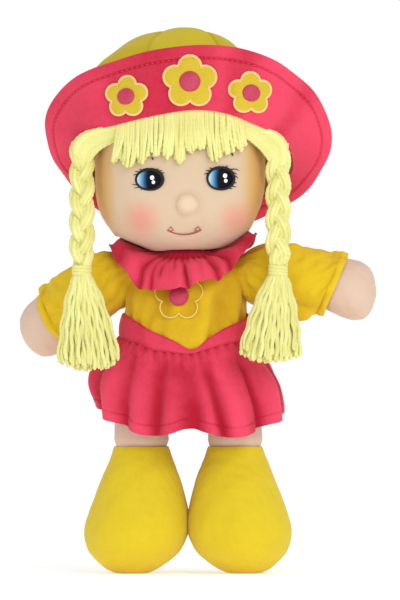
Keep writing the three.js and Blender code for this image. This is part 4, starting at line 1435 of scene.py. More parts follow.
def patch(
    outline: Array,
    lay: Callable[[Array, Array], Array],
    top: Callable[[Array], Array],
    base: float,
    rows: int = 16,
) -> Surface:
    """A closed patch of an outline, laid on a form: its front from the middle to the rim, then its back.

    Args:
        outline: the flat rim (sides, 2).
        lay: puts flat points at lifts on the form.
        top: the front's lift by the share of the way from the middle to the rim.
        base: the back's lift.
        rows: how many rings each face has.

    Returns:
        The surface, whose places on the cloth are the flat ones.
    """
    share = 1 - (1 - np.linspace(0.04, 1, rows)) ** 1.35
    flat = outline[None] * share[:, None, None]
    front = lay(flat, np.broadcast_to(top(share)[:, None], flat.shape[:2]))
    back = lay(flat[::-1], np.full(flat.shape[:2], base))
    surface = grid_surface(np.concatenate([front, back]), caps=True)
    places = np.concatenate([flat.reshape(-1, 2), flat[::-1].reshape(-1, 2), np.zeros((2, 2))])
    surface.quad_uv, surface.triangle_uv = places[surface.quads], places[surface.triangles]
    return surface.outward()


def closed_path(points: Array) -> Array:
    """A loop's points with the first few again at the end, so that a tube along it has no open joint."""
    return np.concatenate([points, points[:2]], axis=-2)


def spiral_fill(count: int) -> Array:
    """Points spread evenly over the unit disc, each turned by the golden angle from the last.

    Args:
        count: how many points there are.

    Returns:
        The points (count, 2).
    """
    number = np.arange(count) + 0.5
    reach = np.sqrt(number / count)
    angle = number * math.pi * (3 - math.sqrt(5))
    return stacked(reach * np.cos(angle), reach * np.sin(angle))


@dataclass
class Workshop:
    """Turns surfaces into finished pieces."""

    # The record's slots of the finishes that have no slot of their own name.
    SLOTS = {
        "face": "skin_cloth", "nose": "skin_cloth", "right_eye": "eye_print", "left_eye": "eye_print",
        "black_thread": "eye_print", "white_thread": "eye_print", "lip_thread": "brown_thread",
        "lip_fill": "brown_thread", "pink_thread": "pink_cotton", "chest_stitch": "pale_stitch",
    }

    materials: dict[str, bpy.types.Material]

    def piece(
        self, name: str, surface: Surface, finish: str, body: str | None = None, stands_for: str | None = None
    ) -> bpy.types.Object:
        """Makes one piece of the doll.

        Args:
            name: the piece's name.
            surface: its closed surface.
            finish: the key of its material.
            body: the body that it rides on, or none where it will bend.
            stands_for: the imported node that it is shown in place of, if there is one.

        Returns:
            The object.
        """
        if surface.tint is None:
            surface.with_tint(0.75)
        made = make_object(name, surface)
        made.data.materials.append(self.materials[finish])
        if stands_for:
            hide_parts(stands_for)
        if body:
            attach(made, body)
        LOG.info("piece %s with %d faces", name, len(made.data.polygons))
        return made


# The head and its face


EYE_PLACES = {Side.RIGHT: ((-22.9, 250.9), (8.7, 6.7)), Side.LEFT: ((22.4, 251.6), (8.6, 7.2))}


@dataclass
class Eye:
    """One eye: a printed patch with a dark outline, lashes, two lights and a brow."""

    side: Side
    lashes: tuple[Vec, ...]
    lights: tuple[Vec, ...]
    brow: tuple[Vec, ...]

    def __post_init__(self) -> None:
        """Reads the eye's place and its half sizes."""
        self.centre, self.half = EYE_PLACES[self.side]
        self.lay = HEAD.laid(self.centre)

    def outline(self, grown: float = 0.0) -> Array:
        """The eye's rim, a little fuller at the top than an oval.

        Args:
            grown: how much is added to both halves.

        Returns:
            The rim (96, 2), across and up.
        """
        rim = oval_outline(self.half[0] + grown, self.half[1] + grown, 96)
        rim[:, 1] = rim[:, 1] * (1 + 0.05 * (rim[:, 0] / self.half[0]) ** 2) + 0.3
        return rim

    def build(self, shop: Workshop) -> None:
        """Makes the eye's pieces.

        Args:
            shop: the workshop that makes them.
        """
        word = self.side.word
        print_patch = patch(self.outline(), self.lay, lambda share: 0.95 - 0.35 * share**4, -0.3, 20)
        shop.piece(f"{word}_eye_print", print_patch, f"{word}_eye", "head", f"{word}_eye")
        rim = self.outline(-0.25)
        angle = np.arctan2(rim[:, 0], rim[:, 1])
        upper = 0.72 + 0.3 * bell(angle, 0, 1.2)
        far = 0.45 * bell(angle, 1.6, 1.0)
        path = closed_path(self.lay(rim, np.full(len(rim), 0.75)))[None]
        width = closed_path(((upper + far) * 0.95)[:, None])[:, 0][None]
        strokes = joined([tubes(path, width, 10), self.strokes()])
        shop.piece(f"{word}_eye_outline", strokes, "black_thread", "head")
        spots = joined([self.spot(x, z, radius) for x, z, radius in self.lights])
        shop.piece(f"{word}_eye_lights", spots, "white_thread", "head")
        steps = 18
        line = bezier(np.array(self.brow)[None], steps)
        path = HEAD.front(line[..., 0], line[..., 2], 0.5)
        taper = np.sin(np.linspace(0.25, math.pi - 0.25, steps)) * 0.6
        shop.piece(f"{word}_brow", tubes(path, taper[None], 8), "brown_thread", "head")

    def spot(self, x: float, z: float, radius: float) -> Surface:
        """A small light on the print."""
        rim = oval_outline(radius, radius * 1.08, 24)
        return patch(rim, HEAD.laid((x, z)), lambda share: 1.25 - 0.2 * share**2, 0.7, 6)

    def strokes(self) -> Surface:
        """The lashes: short tapered threads that leave the rim at an angle, of a length, bent to one side."""
        degrees, length, bend = np.array(self.lashes).T[..., None]
        s = np.linspace(-0.12, 1, 9)[None]
        reach = 1 + s * length / self.half[0]
        bent = np.radians(degrees) + bend * s * s * 0.12
        flat = stacked(self.half[0] * reach * np.sin(bent), self.half[1] * reach * np.cos(bent) + 0.3)
        path = self.lay(flat, np.full(flat.shape[:2], 0.42))
        return tubes(path, 0.42 * (1.05 - 0.7 * np.clip(s, 0, 1)), 8)


@dataclass(frozen=True)
class Head:
    """The stuffed head with its nose, eyes and mouth."""

    fill: float = 0.85
    neck_reach: float = 13.5
    neck_depth: float = 13.0
    nose_half: tuple[float, float] = (6.9, 6.7)
    nose_height: float = 4.6
    mouth_ends: tuple[float, float] = (-11.5, 9.9)
    stitches: int = 7
    overlap: float = 0.25
    corner_places: tuple[float, float] = (-9.3, 7.9)
    corner: tuple[tuple[float, float], ...] = ((-2.0, 218.9), (0.1, 221.4), (1.8, 218.9))

    def build(self, shop: Workshop) -> None:
        """Makes the head's pieces.

        Args:
            shop: the workshop that makes them.
        """
        turn, tilt = round_grid(180, math.pi * (np.linspace(0.012, 0.988, 120) - 0.5))
        points = HEAD.skin(turn, tilt)
        rough = 0.28 * HEAD.ground(points) + 0.07 * HEAD.fine(points)
        points = points + unit(points - np.array(HEAD.centre)) * rough[..., None]
        reach = np.hypot(points[..., 0], points[..., 1])
        below = points[..., 2] < HEAD.centre[2]
        neck_hollow = self.neck_depth * np.exp(-((reach / self.neck_reach) ** 4)) - 1.3 * bell(reach, 22, 10)
        points[..., 2] += neck_hollow * below
        surface = grid_surface(points, caps=True).outward()
        x, y, z = surface.points.T
        # Painted shade and reflected yellow light at the sides of the face, less of it towards the back and
        # the top.
        side = smooth(np.abs(x - HEAD.centre[0] + 1.0), 37, 50) * smooth(z, 300, 270)
        surface.with_tint(1 - 0.95 * (side * (1 - 0.8 * smooth(y, -2, 20))))
        shop.piece("head_skin", surface, "face", "head", "head")
        self.nose(shop)
        self.mouth(shop)
        for eye in self.eyes():
            eye.build(shop)

    def nose(self, shop: Workshop) -> None:
        """A gathered ball of the face's cloth: a low dome with fine puckers at its foot.

        Args:
            shop: the workshop that makes it.
        """
        outline = oval_outline(*self.nose_half, 90)
        angle = np.arctan2(outline[:, 0], outline[:, 1])

        def lay(flat: Array, lift: Array) -> Array:
            """The dome's points on the face, with the puckers growing towards the rim.

            Args:
                flat: points (..., 2), across and up.
                lift: how far over the face they are.

            Returns:
                The points.
            """
            share = np.hypot(flat[..., 0], flat[..., 1]) / self.nose_half[0]
            pleat = 0.16 * np.cos(17 * angle + 1.3 * np.sin(3 * angle)) * smooth(share, 0.55, 0.95)
            return HEAD.laid(HEAD.nose)(flat, lift + pleat)

        ball = patch(outline, lay, lambda share: self.nose_height * dome(share, 2.4) - 0.5, -0.9, 22)
        shop.piece("nose_ball", ball.with_tint(1.0), "nose", "head", "nose")

    def mouth(self, shop: Workshop) -> None:
        """A smile in back stitches, with a small open triangle at each corner.

        Args:
            shop: the workshop that makes it.
        """
        ends = np.linspace(*self.mouth_ends, self.stitches + 1)
        starts = ends[:-1] - self.overlap
        share = np.linspace(0, 1, 9)
        x = starts[:, None] + (ends[1:] + self.overlap - starts)[:, None] * share
        lift = 0.15 + 0.5 * np.sin(math.pi * share) ** 0.7
        path = HEAD.front(x, HEAD.mouth_height(x), np.broadcast_to(lift, x.shape))
        stitches = [tubes(path, 0.46, 10)]
        fills = []
        for place in self.corner_places:
            flat = np.array(self.corner) + (place, 0)
            line = flat[:, None] + (np.roll(flat, -1, 0) - flat)[:, None] * share[None, :, None]
            stitches.append(tubes(HEAD.front(line[..., 0], line[..., 1], 0.3), 0.24, 8))
            rim = line.reshape(-1, 2)
            middle = rim.mean(0)
            fills.append(patch(rim - middle, HEAD.laid(middle), lambda share: 0.25 + 0 * share, -0.2, 5))
        shop.piece("mouth_thread", joined(stitches), "lip_thread", "head", "mouth_stitch")
        shop.piece("mouth_corners", joined(fills), "lip_fill", "head")

    def eyes(self) -> tuple[Eye, Eye]:
        """Both eyes, with lashes as degrees from the top towards the doll's left, a length and a bend."""
        right = Eye(
            Side.RIGHT,
            ((-62, 2.4, -1.5), (-47, 2.7, -1.2), (-31, 2.3, -1.0), (28, 2.0, 1.0), (42, 2.4, 1.0),
             (55, 2.6, 1.0), (-118, 3.0, 1.5), (-133, 3.4, 1.5), (-150, 2.0, 1.0)),
            ((-21.1, 252.4, 1.35), (-20.3, 249.5, 1.1)),
            ((-21.6, 0, 264.6), (-21.1, 0, 265.0), (-20.8, 0, 264.6), (-20.5, 0, 263.6)),
        )
        left = Eye(
            Side.LEFT,
            ((-64, 2.3, -1.5), (-50, 2.8, -1.2), (-35, 2.3, -1.0), (20, 2.2, 1.0), (44, 5.0, 3.0),
             (60, 2.4, 2.0), (76, 2.6, 2.0), (112, 2.2, -1.0), (128, 3.2, -1.0), (142, 2.4, -1.0)),
            ((25.2, 253.7, 1.35), (25.7, 250.5, 1.15)),
            ((29.0, 0, 267.6), (29.6, 0, 268.0), (30.0, 0, 267.4), (30.4, 0, 266.2)),
        )
        return right, left


# The hair


@dataclass(frozen=True)
class Hair:
    """Yarn hair: a fringe in locks, a swoop and a plait on each side, and the back under the hat."""

    yarn: float = 1.12
    swoop_yarn: float = 1.42
    plait_yarn: float = 1.55
    tassel_yarn: float = 1.3
    sides: int = 8
    ply: Ply = Ply(3, 0.1, 10.0)
    plait_reach: float = 62.5
    root_y: float = -24.0
    forward: float = 7.0
    root_z: float = 271.0
    tie_z: float = 195.4
    tassel_z: float = 193.0
    tassel_half: tuple[float, float] = (19.0, 7.2)
    right_tassel: float = 64.0
    left_tassel: float = 59.0
    crossing: float = 46.0
    per_lock: int = 15
    in_swoop: int = 27
    in_rope: int = 7
    in_tassel: int = 84
    lock_tips: tuple[tuple[float, float], ...] = (
        (-45.8, 261.1), (-36.4, 257.4), (-27.8, 260.6), (-18.2, 264.3), (-10.6, 263.2), (-3.5, 259.8),
        (3.4, 266.8), (10.4, 268.6), (18.9, 261.2), (27.2, 265.4), (35.2, 268.4),
    )
    fringe_ends: tuple[float, float] = (-46.5, 39.5)
    fan_shares: tuple[Vec, ...] = (
        (0, 0.17, 0.45), (0.14, 0.4, 0.72), (0.38, 0.66, 0.95), (0.68, 0.88, 1.0), (0.9, 1.0, 0.95),
        (1.1, 1.02, 0.8),
    )
    rng: np.random.Generator = field(default_factory=lambda: np.random.default_rng(11))

    def strands(self, paths: Array, radius: float) -> Surface:
        """Plied yarn along paths, each strand with its own shade at its points and tips.

        Args:
            paths: middles (strands, steps, 3).
            radius: how thick a strand is.

        Returns:
            The yarn.
        """
        surface = tubes(paths, radius, self.sides, ply=self.ply)
        shades = self.rng.uniform(0, 1, len(paths))
        around = np.repeat(shades, paths.shape[1] * self.sides)
        return surface.with_tint(np.concatenate([around, np.repeat(shades, 2)]))

    def root_x(self, side: Side) -> float:
        """How far across a plait hangs."""
        return HEAD.centre[0] + self.plait_reach * side.value

    def hang(self, side: Side, share: Array) -> Array:
        """The plait's middle line, which comes forward as it falls.

        Args:
            side: the side of the doll.
            share: shares of the way down it.

        Returns:
            The points.
        """
        eased = np.minimum(2 * share * (1 - share / 2), 1)
        z = self.root_z + (self.tie_z - self.root_z) * share
        return stacked(self.root_x(side), self.root_y - self.forward * eased, z)

    def build(self, shop: Workshop) -> None:
        """Makes all the hair.

        Args:
            shop: the workshop that makes them.
        """
        shop.piece("fringe_yarn", self.fringe(), "yarn", "head", "hair_fringe")
        shop.piece("back_yarn", self.back(), "yarn", "head", "back_hair")
        for side in Side:
            word = side.word
            body = f"{word}_plait"
            shop.piece(f"{word}_swoop_yarn", self.swoop(side), "yarn", "head", f"{word}_hair_swoop")
            plait = shop.piece(f"{body}_yarn", self.plait(side), "yarn", None, body)
            top, below = (packed(self.hang(side, np.array(share))) for share in (-0.04, 0.12))
            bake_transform(plait, "head", body, top, below)
            shop.piece(f"{word}_tie_yarn", self.tie(side), "yarn", body, f"{body}_tie")
            shop.piece(f"{word}_tassel_yarn", self.tassel(side), "yarn", body, f"{body}_tassel")

    def fringe(self) -> Surface:
        """Locks whose strands start side by side under the brim and draw together at the lock's tip."""
        tips = np.array(self.lock_tips)
        first, last = self.fringe_ends
        edges = np.concatenate([[first], (tips[1:, 0] + tips[:-1, 0]) / 2, [last]])
        lock = np.repeat(np.arange(len(tips)), self.per_lock)
        share = np.tile((np.arange(self.per_lock) + 0.5) / self.per_lock, len(tips))
        share = share + self.rng.uniform(-0.05, 0.05, len(lock))
        layer = np.tile([0, 2, 1], len(lock) // 3)
        root_x = edges[lock] + (edges[lock + 1] - edges[lock]) * share
        off = root_x - tips[lock, 0]
        tip_x = tips[lock, 0] + 0.8 * off + self.rng.uniform(-0.6, 0.6, len(lock))
        tip_z = tips[lock, 1] + 0.75 * np.abs(off) ** 1.1 + self.rng.uniform(0, 2.4, len(lock))
        root_x = HEAD.centre[0] + (root_x - HEAD.centre[0]) * 0.93
        edge_y, edge_z = HAT.edge(root_x)
        s = np.linspace(0, 1, 40)[None]
        x = root_x[:, None] + (tip_x - root_x)[:, None] * s**2.2
        x = x + 0.7 * np.sin(TURN * s * 0.8 + self.rng.uniform(0, TURN, len(lock))[:, None]) * s
        hidden = 3.5
        z = edge_z[:, None] + hidden + (tip_z - edge_z - hidden)[:, None] * s
        lift = np.array([1.5, 3.2, 4.9])[layer][:, None]
        lift = lift + 0.7 * np.sin(math.pi * s) - 0.9 * smooth(s, 0.75, 1.0) * (layer[:, None] > 0)
        points = HEAD.front(x, z, lift)
        start_y = (edge_y + np.array([5.2, 3.2, 1.2])[layer])[:, None]
        points[..., 1] += (start_y - points[..., 1]) * (1 - smooth(s, 0.0, 0.62))
        return self.strands(points, self.yarn)

    def back(self) -> Surface:
        """Strands down the back of the head, under the hat, in two layers."""
        count, steps = 46, 34
        turns = np.linspace(math.radians(118), math.radians(242), count)
        turn = np.concatenate([turns, turns[:-1] + 0.5 * (turns[1] - turns[0])])
        lift = np.concatenate([np.full(count, 1.6), np.full(count - 1, 3.7)])
        top, low = math.radians(14), math.radians(-44) + self.rng.uniform(-0.05, 0.03, len(turn))
        tilt = top + (low - top)[:, None] * np.linspace(0, 1, steps)[None]
        return self.strands(HEAD.skin(turn[:, None] * np.ones_like(tilt), tilt, lift[:, None]), self.yarn)

    def swoop(self, side: Side) -> Surface:
        """Strands from the fringe's side to the plait's root, as cubic curves on the head.

        Args:
            side: the side of the doll.

        Returns:
            The yarn.
        """
        number = np.arange(self.in_swoop)
        u = (number + 0.5) / self.in_swoop
        depth = np.array([0.0, -2.1, -4.2])[number % 3]
        lowered = 1.5 if side is Side.LEFT else 0.0
        middle, sign = HEAD.centre[0], side.value
        start_x, near_x = middle + sign * (31.0 + 6.0 * u), middle + sign * (49.0 - 2.0 * u)
        start_y, start_z = HAT.edge(start_x)
        near_y, near_z = HAT.edge(near_x)
        start = stacked(start_x, start_y + 6.5 + 5 * u + depth, start_z + 1.5 - 10.5 * u)
        near = stacked(near_x, near_y + 5.0 + 3 * u + depth, near_z - 1.2 - 9.5 * u)
        over = stacked(middle + sign * (77.0 - 23.0 * u), -27.5 + depth, 285.0 - lowered - 13.0 * u)
        end = stacked(middle + sign * (65.5 - 6.5 * u), -25.5 + 0.6 * depth, 260.0 - 5.0 * u * (1 - u))
        return self.strands(bezier(np.stack([start, near, over, end], 1), 44), self.swoop_yarn)

    def plait(self, side: Side) -> Surface:
        """Three ropes of seven yarns that cross in turn: each goes once across and twice in and out.

        Args:
            side: the side of the doll.

        Returns:
            The yarn.
        """
        share = np.linspace(-0.07, 1.0, 92)
        middle = self.hang(side, share)
        run = self.root_z - middle[:, 2]
        taper = 1 - 0.42 * smooth(share, 0.86, 1.0) - 0.12 * smooth(-share, -0.03, 0.07)
        ropes = []
        for rope in range(3):
            phase = TURN * (run / self.crossing + rope / 3) * side.value + 0.6
            rope_x = 4.5 * np.sin(phase) * taper
            rope_y = -2.7 * np.sin(2 * phase) * taper
            for yarn in range(self.in_rope):
                angle = TURN * yarn / (self.in_rope - 1) + 0.35 * phase
                reach = 2.5 * taper * (yarn < self.in_rope - 1) * (1 + 0.12 * np.cos(3 * angle))
                x, y = rope_x + reach * np.cos(angle), rope_y + reach * np.sin(angle)
                ropes.append(middle + stacked(x, y, 0))
        return self.strands(np.array(ropes), self.plait_yarn)

    def tie(self, side: Side) -> Surface:
        """Yarn wound over three times round the pinched end of the plait.

        Args:
            side: the side of the doll.

        Returns:
            The yarn.
        """
        share = np.linspace(0, 1, 150)
        turn = TURN * 3.3 * share
        radius = 5.1 + 0.35 * np.sin(2 * turn)
        x = self.root_x(side) + radius * np.cos(turn)
        y = self.root_y - self.forward + radius * 0.92 * np.sin(turn)
        path = stacked(x, y, self.tie_z + 1.8 - 6.6 * share)
        return tubes(path[None], 1.25, 10, (0.0, 0.0, 1.0), Ply(3, 0.15, 8.0)).with_tint(0.45)

    def tassel(self, side: Side) -> Surface:
        """Strands that fan out below the tie, kinked where the plait held them, and cut unevenly.

        Args:
            side: the side of the doll.

        Returns:
            The yarn.
        """
        disc = spiral_fill(self.in_tassel)
        d = np.linspace(-0.07, 1, 50)[None]
        down = np.clip(d, 0, 1)
        width, depth = table_at(self.fan_shares, down)
        longest = self.right_tassel if side is Side.RIGHT else self.left_tassel
        length = longest - 5.0 * np.abs(disc[:, 0]) ** 2
        length = length - self.rng.uniform(0, 5.5, self.in_tassel)
        phase = self.rng.uniform(0, TURN, (self.in_tassel, 1))
        loose = smooth(down, 0.02, 0.2)
        kink = 0.45 * np.sin(TURN * d * 3.6 + phase) * loose
        other = 0.5 * np.sin(TURN * d * 2.9 + 2.3 * phase) * loose
        x = self.root_x(side) - side.value * 5 * down + self.tassel_half[0] * width * disc[:, :1] + kink
        y = self.root_y - self.forward - 12 * down**2 + self.tassel_half[1] * depth * disc[:, 1:] + other
        z = self.tassel_z - length[:, None] * d
        return self.strands(stacked(x, y, z), self.tassel_yarn)


# The hat


@dataclass(frozen=True)
class HatFlower:
    """Where a felt flower sits, round the hat and out on the brim, and how large it and its centre are."""

    name: str
    centre: tuple[float, float]
    radius: float
    dome: float


@dataclass(frozen=True)
class Hat:
    """The sun hat, with a panelled crown, a double brim and three felt flowers."""

    panels: int = 6
    lining: float = 1.6
    brim_stitches: int = 150
    edge_thread: float = 0.85
    flowers: tuple[HatFlower, ...] = (
        HatFlower("centre", (0.002, 0.4), 17.4, 6.7),
        HatFlower("left", (0.088, 0.35), 14.0, 5.5),
        HatFlower("right", (0.915, 0.34), 14.0, 5.5),
    )

    def build(self, shop: Workshop) -> None:
        """Makes the hat's pieces.

        Args:
            shop: the workshop that makes them.
        """
        self.crown(shop)
        self.brim(shop)
        self.topstitch(shop)
        for flower in self.flowers:
            self.flower(shop, flower)

    def crown(self, shop: Workshop) -> None:
        """Panels that puff between their seams, lined on the inside.

        Args:
            shop: the workshop that makes it.
        """
        place = np.arange(216)[None] / 216
        behind = smooth(0.5 - 0.5 * np.cos(TURN * place), 0.45, 0.75)
        highest = 0.985
        lift = np.linspace(0, highest, 60)[:, None]
        lift = lift + (0.03 - 0.05 * behind) * (1 - lift / highest)
        place, lift = np.broadcast_arrays(place, lift)
        panel = self.panels * place + 0.42
        level = np.cos(lift * math.pi / 2)
        near = np.abs(panel - np.round(panel)) / self.panels * TURN * 60 * level
        puff = 1.5 * np.abs(np.sin(math.pi * panel)) ** 0.7 * level**0.6 - 1.1
        outer = HAT.crown(place, lift, (puff - 0.8 * bell(near, 0, 1.1)) * smooth(lift, -0.02, 0.08))
        ground = Ripple(31, 42.0)
        outer = outer + unit(outer - HAT.CENTRE) * (0.8 * ground(outer) * smooth(lift, 0, 0.2))[..., None]
        wall = self.lining - 1.2 * (1 - smooth(lift, -0.02, 0.03))
        inner = outer - unit(outer - HAT.CENTRE) * wall[..., None]
        surface = grid_surface(np.concatenate([outer[::-1], inner]), caps=True).outward()
        # Painted shade: darker on the lining inside and along the seams' grooves; every other panel is a
        # little deeper too.
        outer_shade, inner_shade = 0.8, 0.5
        shade = outer_shade - np.floor(panel) % 2 * 0.16 - bell(near, 0, 1.3) * 0.25
        shades = [shade[::-1].ravel(), np.full(lift.size, inner_shade), [outer_shade, inner_shade]]
        surface.with_tint(np.concatenate(shades))
        cloth = shop.piece("hat_crown_cloth", surface, "crown_cotton", "head", "hat_crown")
        declare_sheet(outer)

    def brim(self, shop: Workshop) -> None:
        """Two layers of cotton sewn together: one closed loop of the section, all the way round.

        Args:
            shop: the workshop that makes it.
        """
        place = np.arange(360)[None] / 360
        out = np.concatenate([np.linspace(HAT.ROOT, 0.7, 20), 1 - 0.3 * np.linspace(0.97, 0, 30) ** 1.2])
        place, out = np.broadcast_arrays(place, out[:, None])
        from_edge = (1 - out) * HAT.width(place)
        roll = np.sqrt(np.clip(1 - (1 - np.clip(from_edge / 1.5, 0, 1)) ** 2, 0, 1))
        half = 0.5 * HAT.THICKNESS
        hem = 0.35 * (1 - smooth(from_edge, HAT.HEM - 1.4, HAT.HEM - 0.2)) * roll
        top = HAT.brim(place, out, half + (half + hem) * roll)
        low = HAT.brim(place, out, half - (half + hem) * roll)
        points = np.concatenate([top, low[-2::-1]])
        surface = grid_surface(points, rows_wrap=True).outward()
        # Painted shade: darker across the front middle and on the doll's right, in the two creases and in the
        # hem's groove on the top face.
        around = (np.broadcast_to(place[:1], points.shape[:2]) + 0.5) % 1 - 0.5
        shade = 0.86 - 0.5 * bell(around, -0.04, 0.09) - 0.22 * bell(around, -0.19, 0.05)
        shade = shade - 0.3 * bell(around, 0.07, 0.018) - 0.3 * bell(around, 0.165, 0.02)
        shade[: len(out)] -= 0.34 * bell(from_edge, HAT.HEM, 0.8)
        surface.with_tint(shade.ravel())
        cloth = shop.piece("hat_brim_cloth", surface, "pink_cotton", "head", "hat_brim")
        declare_sheet(top)

    def topstitch(self, shop: Workshop) -> None:
        """The row of stitches along the brim's hem.

        Args:
            shop: the workshop that makes it.
        """
        share = np.linspace(0, 1, 7)[None]
        around = (np.arange(self.brim_stitches)[:, None] + 0.62 * share) / self.brim_stitches
        out = 1 - HAT.HEM / HAT.width(around)
        lift = HAT.THICKNESS - 0.25 + 0.55 * np.sin(math.pi * share) ** 0.6 + 0 * around
        stitches = tubes(HAT.brim(around, out, lift), 0.34, 7, (0.3, 0.2, 0.9))
        shop.piece("hat_brim_stitches", stitches, "pink_thread", "head")

    def flower(self, shop: Workshop, flower: HatFlower) -> None:
        """A felt patch with a satin-stitched edge and a stitched round centre.

        Args:
            shop: the workshop that makes it.
            flower: its place and its sizes.
        """

        def lay(flat: Array, lift: Array) -> Array:
            """Flat points on the brim."""
            return HAT.on_brim(flower.centre, flat, lift)

        def puffed(share: Array) -> Array:
            """The felt's front, soft over its padding."""
            return 1.0 + 0.9 * (1 - share**6) ** 0.5 + 0.35 * bell(share, 0.66, 0.2)

        felt = patch(flower_outline(flower.radius - 0.55), lay, puffed, 0.1, 22)
        rim = flower_outline(flower.radius - 0.75, 240)
        path = closed_path(lay(rim, np.full(len(rim), 1.15)))[None]
        edge = tubes(path, self.edge_thread, 12, (0.31, 0.2, 0.93))
        round_rim = oval_outline(flower.dome, flower.dome)
        middle = patch(round_rim, lay, lambda share: 1.9 + 1.9 * dome(share, 2.6), 1.2)
        word = f"{flower.name}_hat_flower"
        shop.piece(f"{word}_felt", felt, "yellow_felt", "head", word)
        shop.piece(f"{word}_stitching", edge, "pale_stitch", "head", f"{word}_edge")
        shop.piece(f"{word}_dome", middle, "magenta_stitch", "head", f"{word}_centre")


# The blouse, its collar and its sleeves


@dataclass(frozen=True)
class Fold:
    """A fold down a gathered cloth: where it is in degrees at its top and at its hem, and its shape."""

    top: float
    hem: float
    height: float
    width: float
    start: float = 0.0
    end: float = 2.0


def back_folds(tops: Iterable[int], shift: float, height: float, width: float) -> tuple[Fold, ...]:
    """Even folds round the back, standing out and sinking in turn."""
    return tuple(Fold(top, top + shift, height * (-1) ** k, width) for k, top in enumerate(tops))


def folded(folds: Sequence[Fold], degrees: Array, down: Array) -> Array:
    """The sum of folds at angles in degrees and shares of the way down, each a bell across its own line.

    Args:
        folds: the folds.
        degrees: where round the cloth.
        down: shares of the way down it.

    Returns:
        How far the cloth stands out there.
    """
    total = np.zeros(np.broadcast(degrees, down).shape)
    table = np.array([[f.top, f.hem, f.height, f.width, f.start, f.end] for f in folds])
    shape = (len(folds),) + (1,) * total.ndim
    top, hem, height, width, start, end = (table[:, k].reshape(shape) for k in range(6))
    off = (degrees - (top + (hem - top) * down) + 180) % 360 - 180
    fade = smooth(down, start, start + 0.3) * (1 - smooth(down, end - 0.25, end))
    return (height * np.exp(-((off / width) ** 2)) * fade).sum(0)


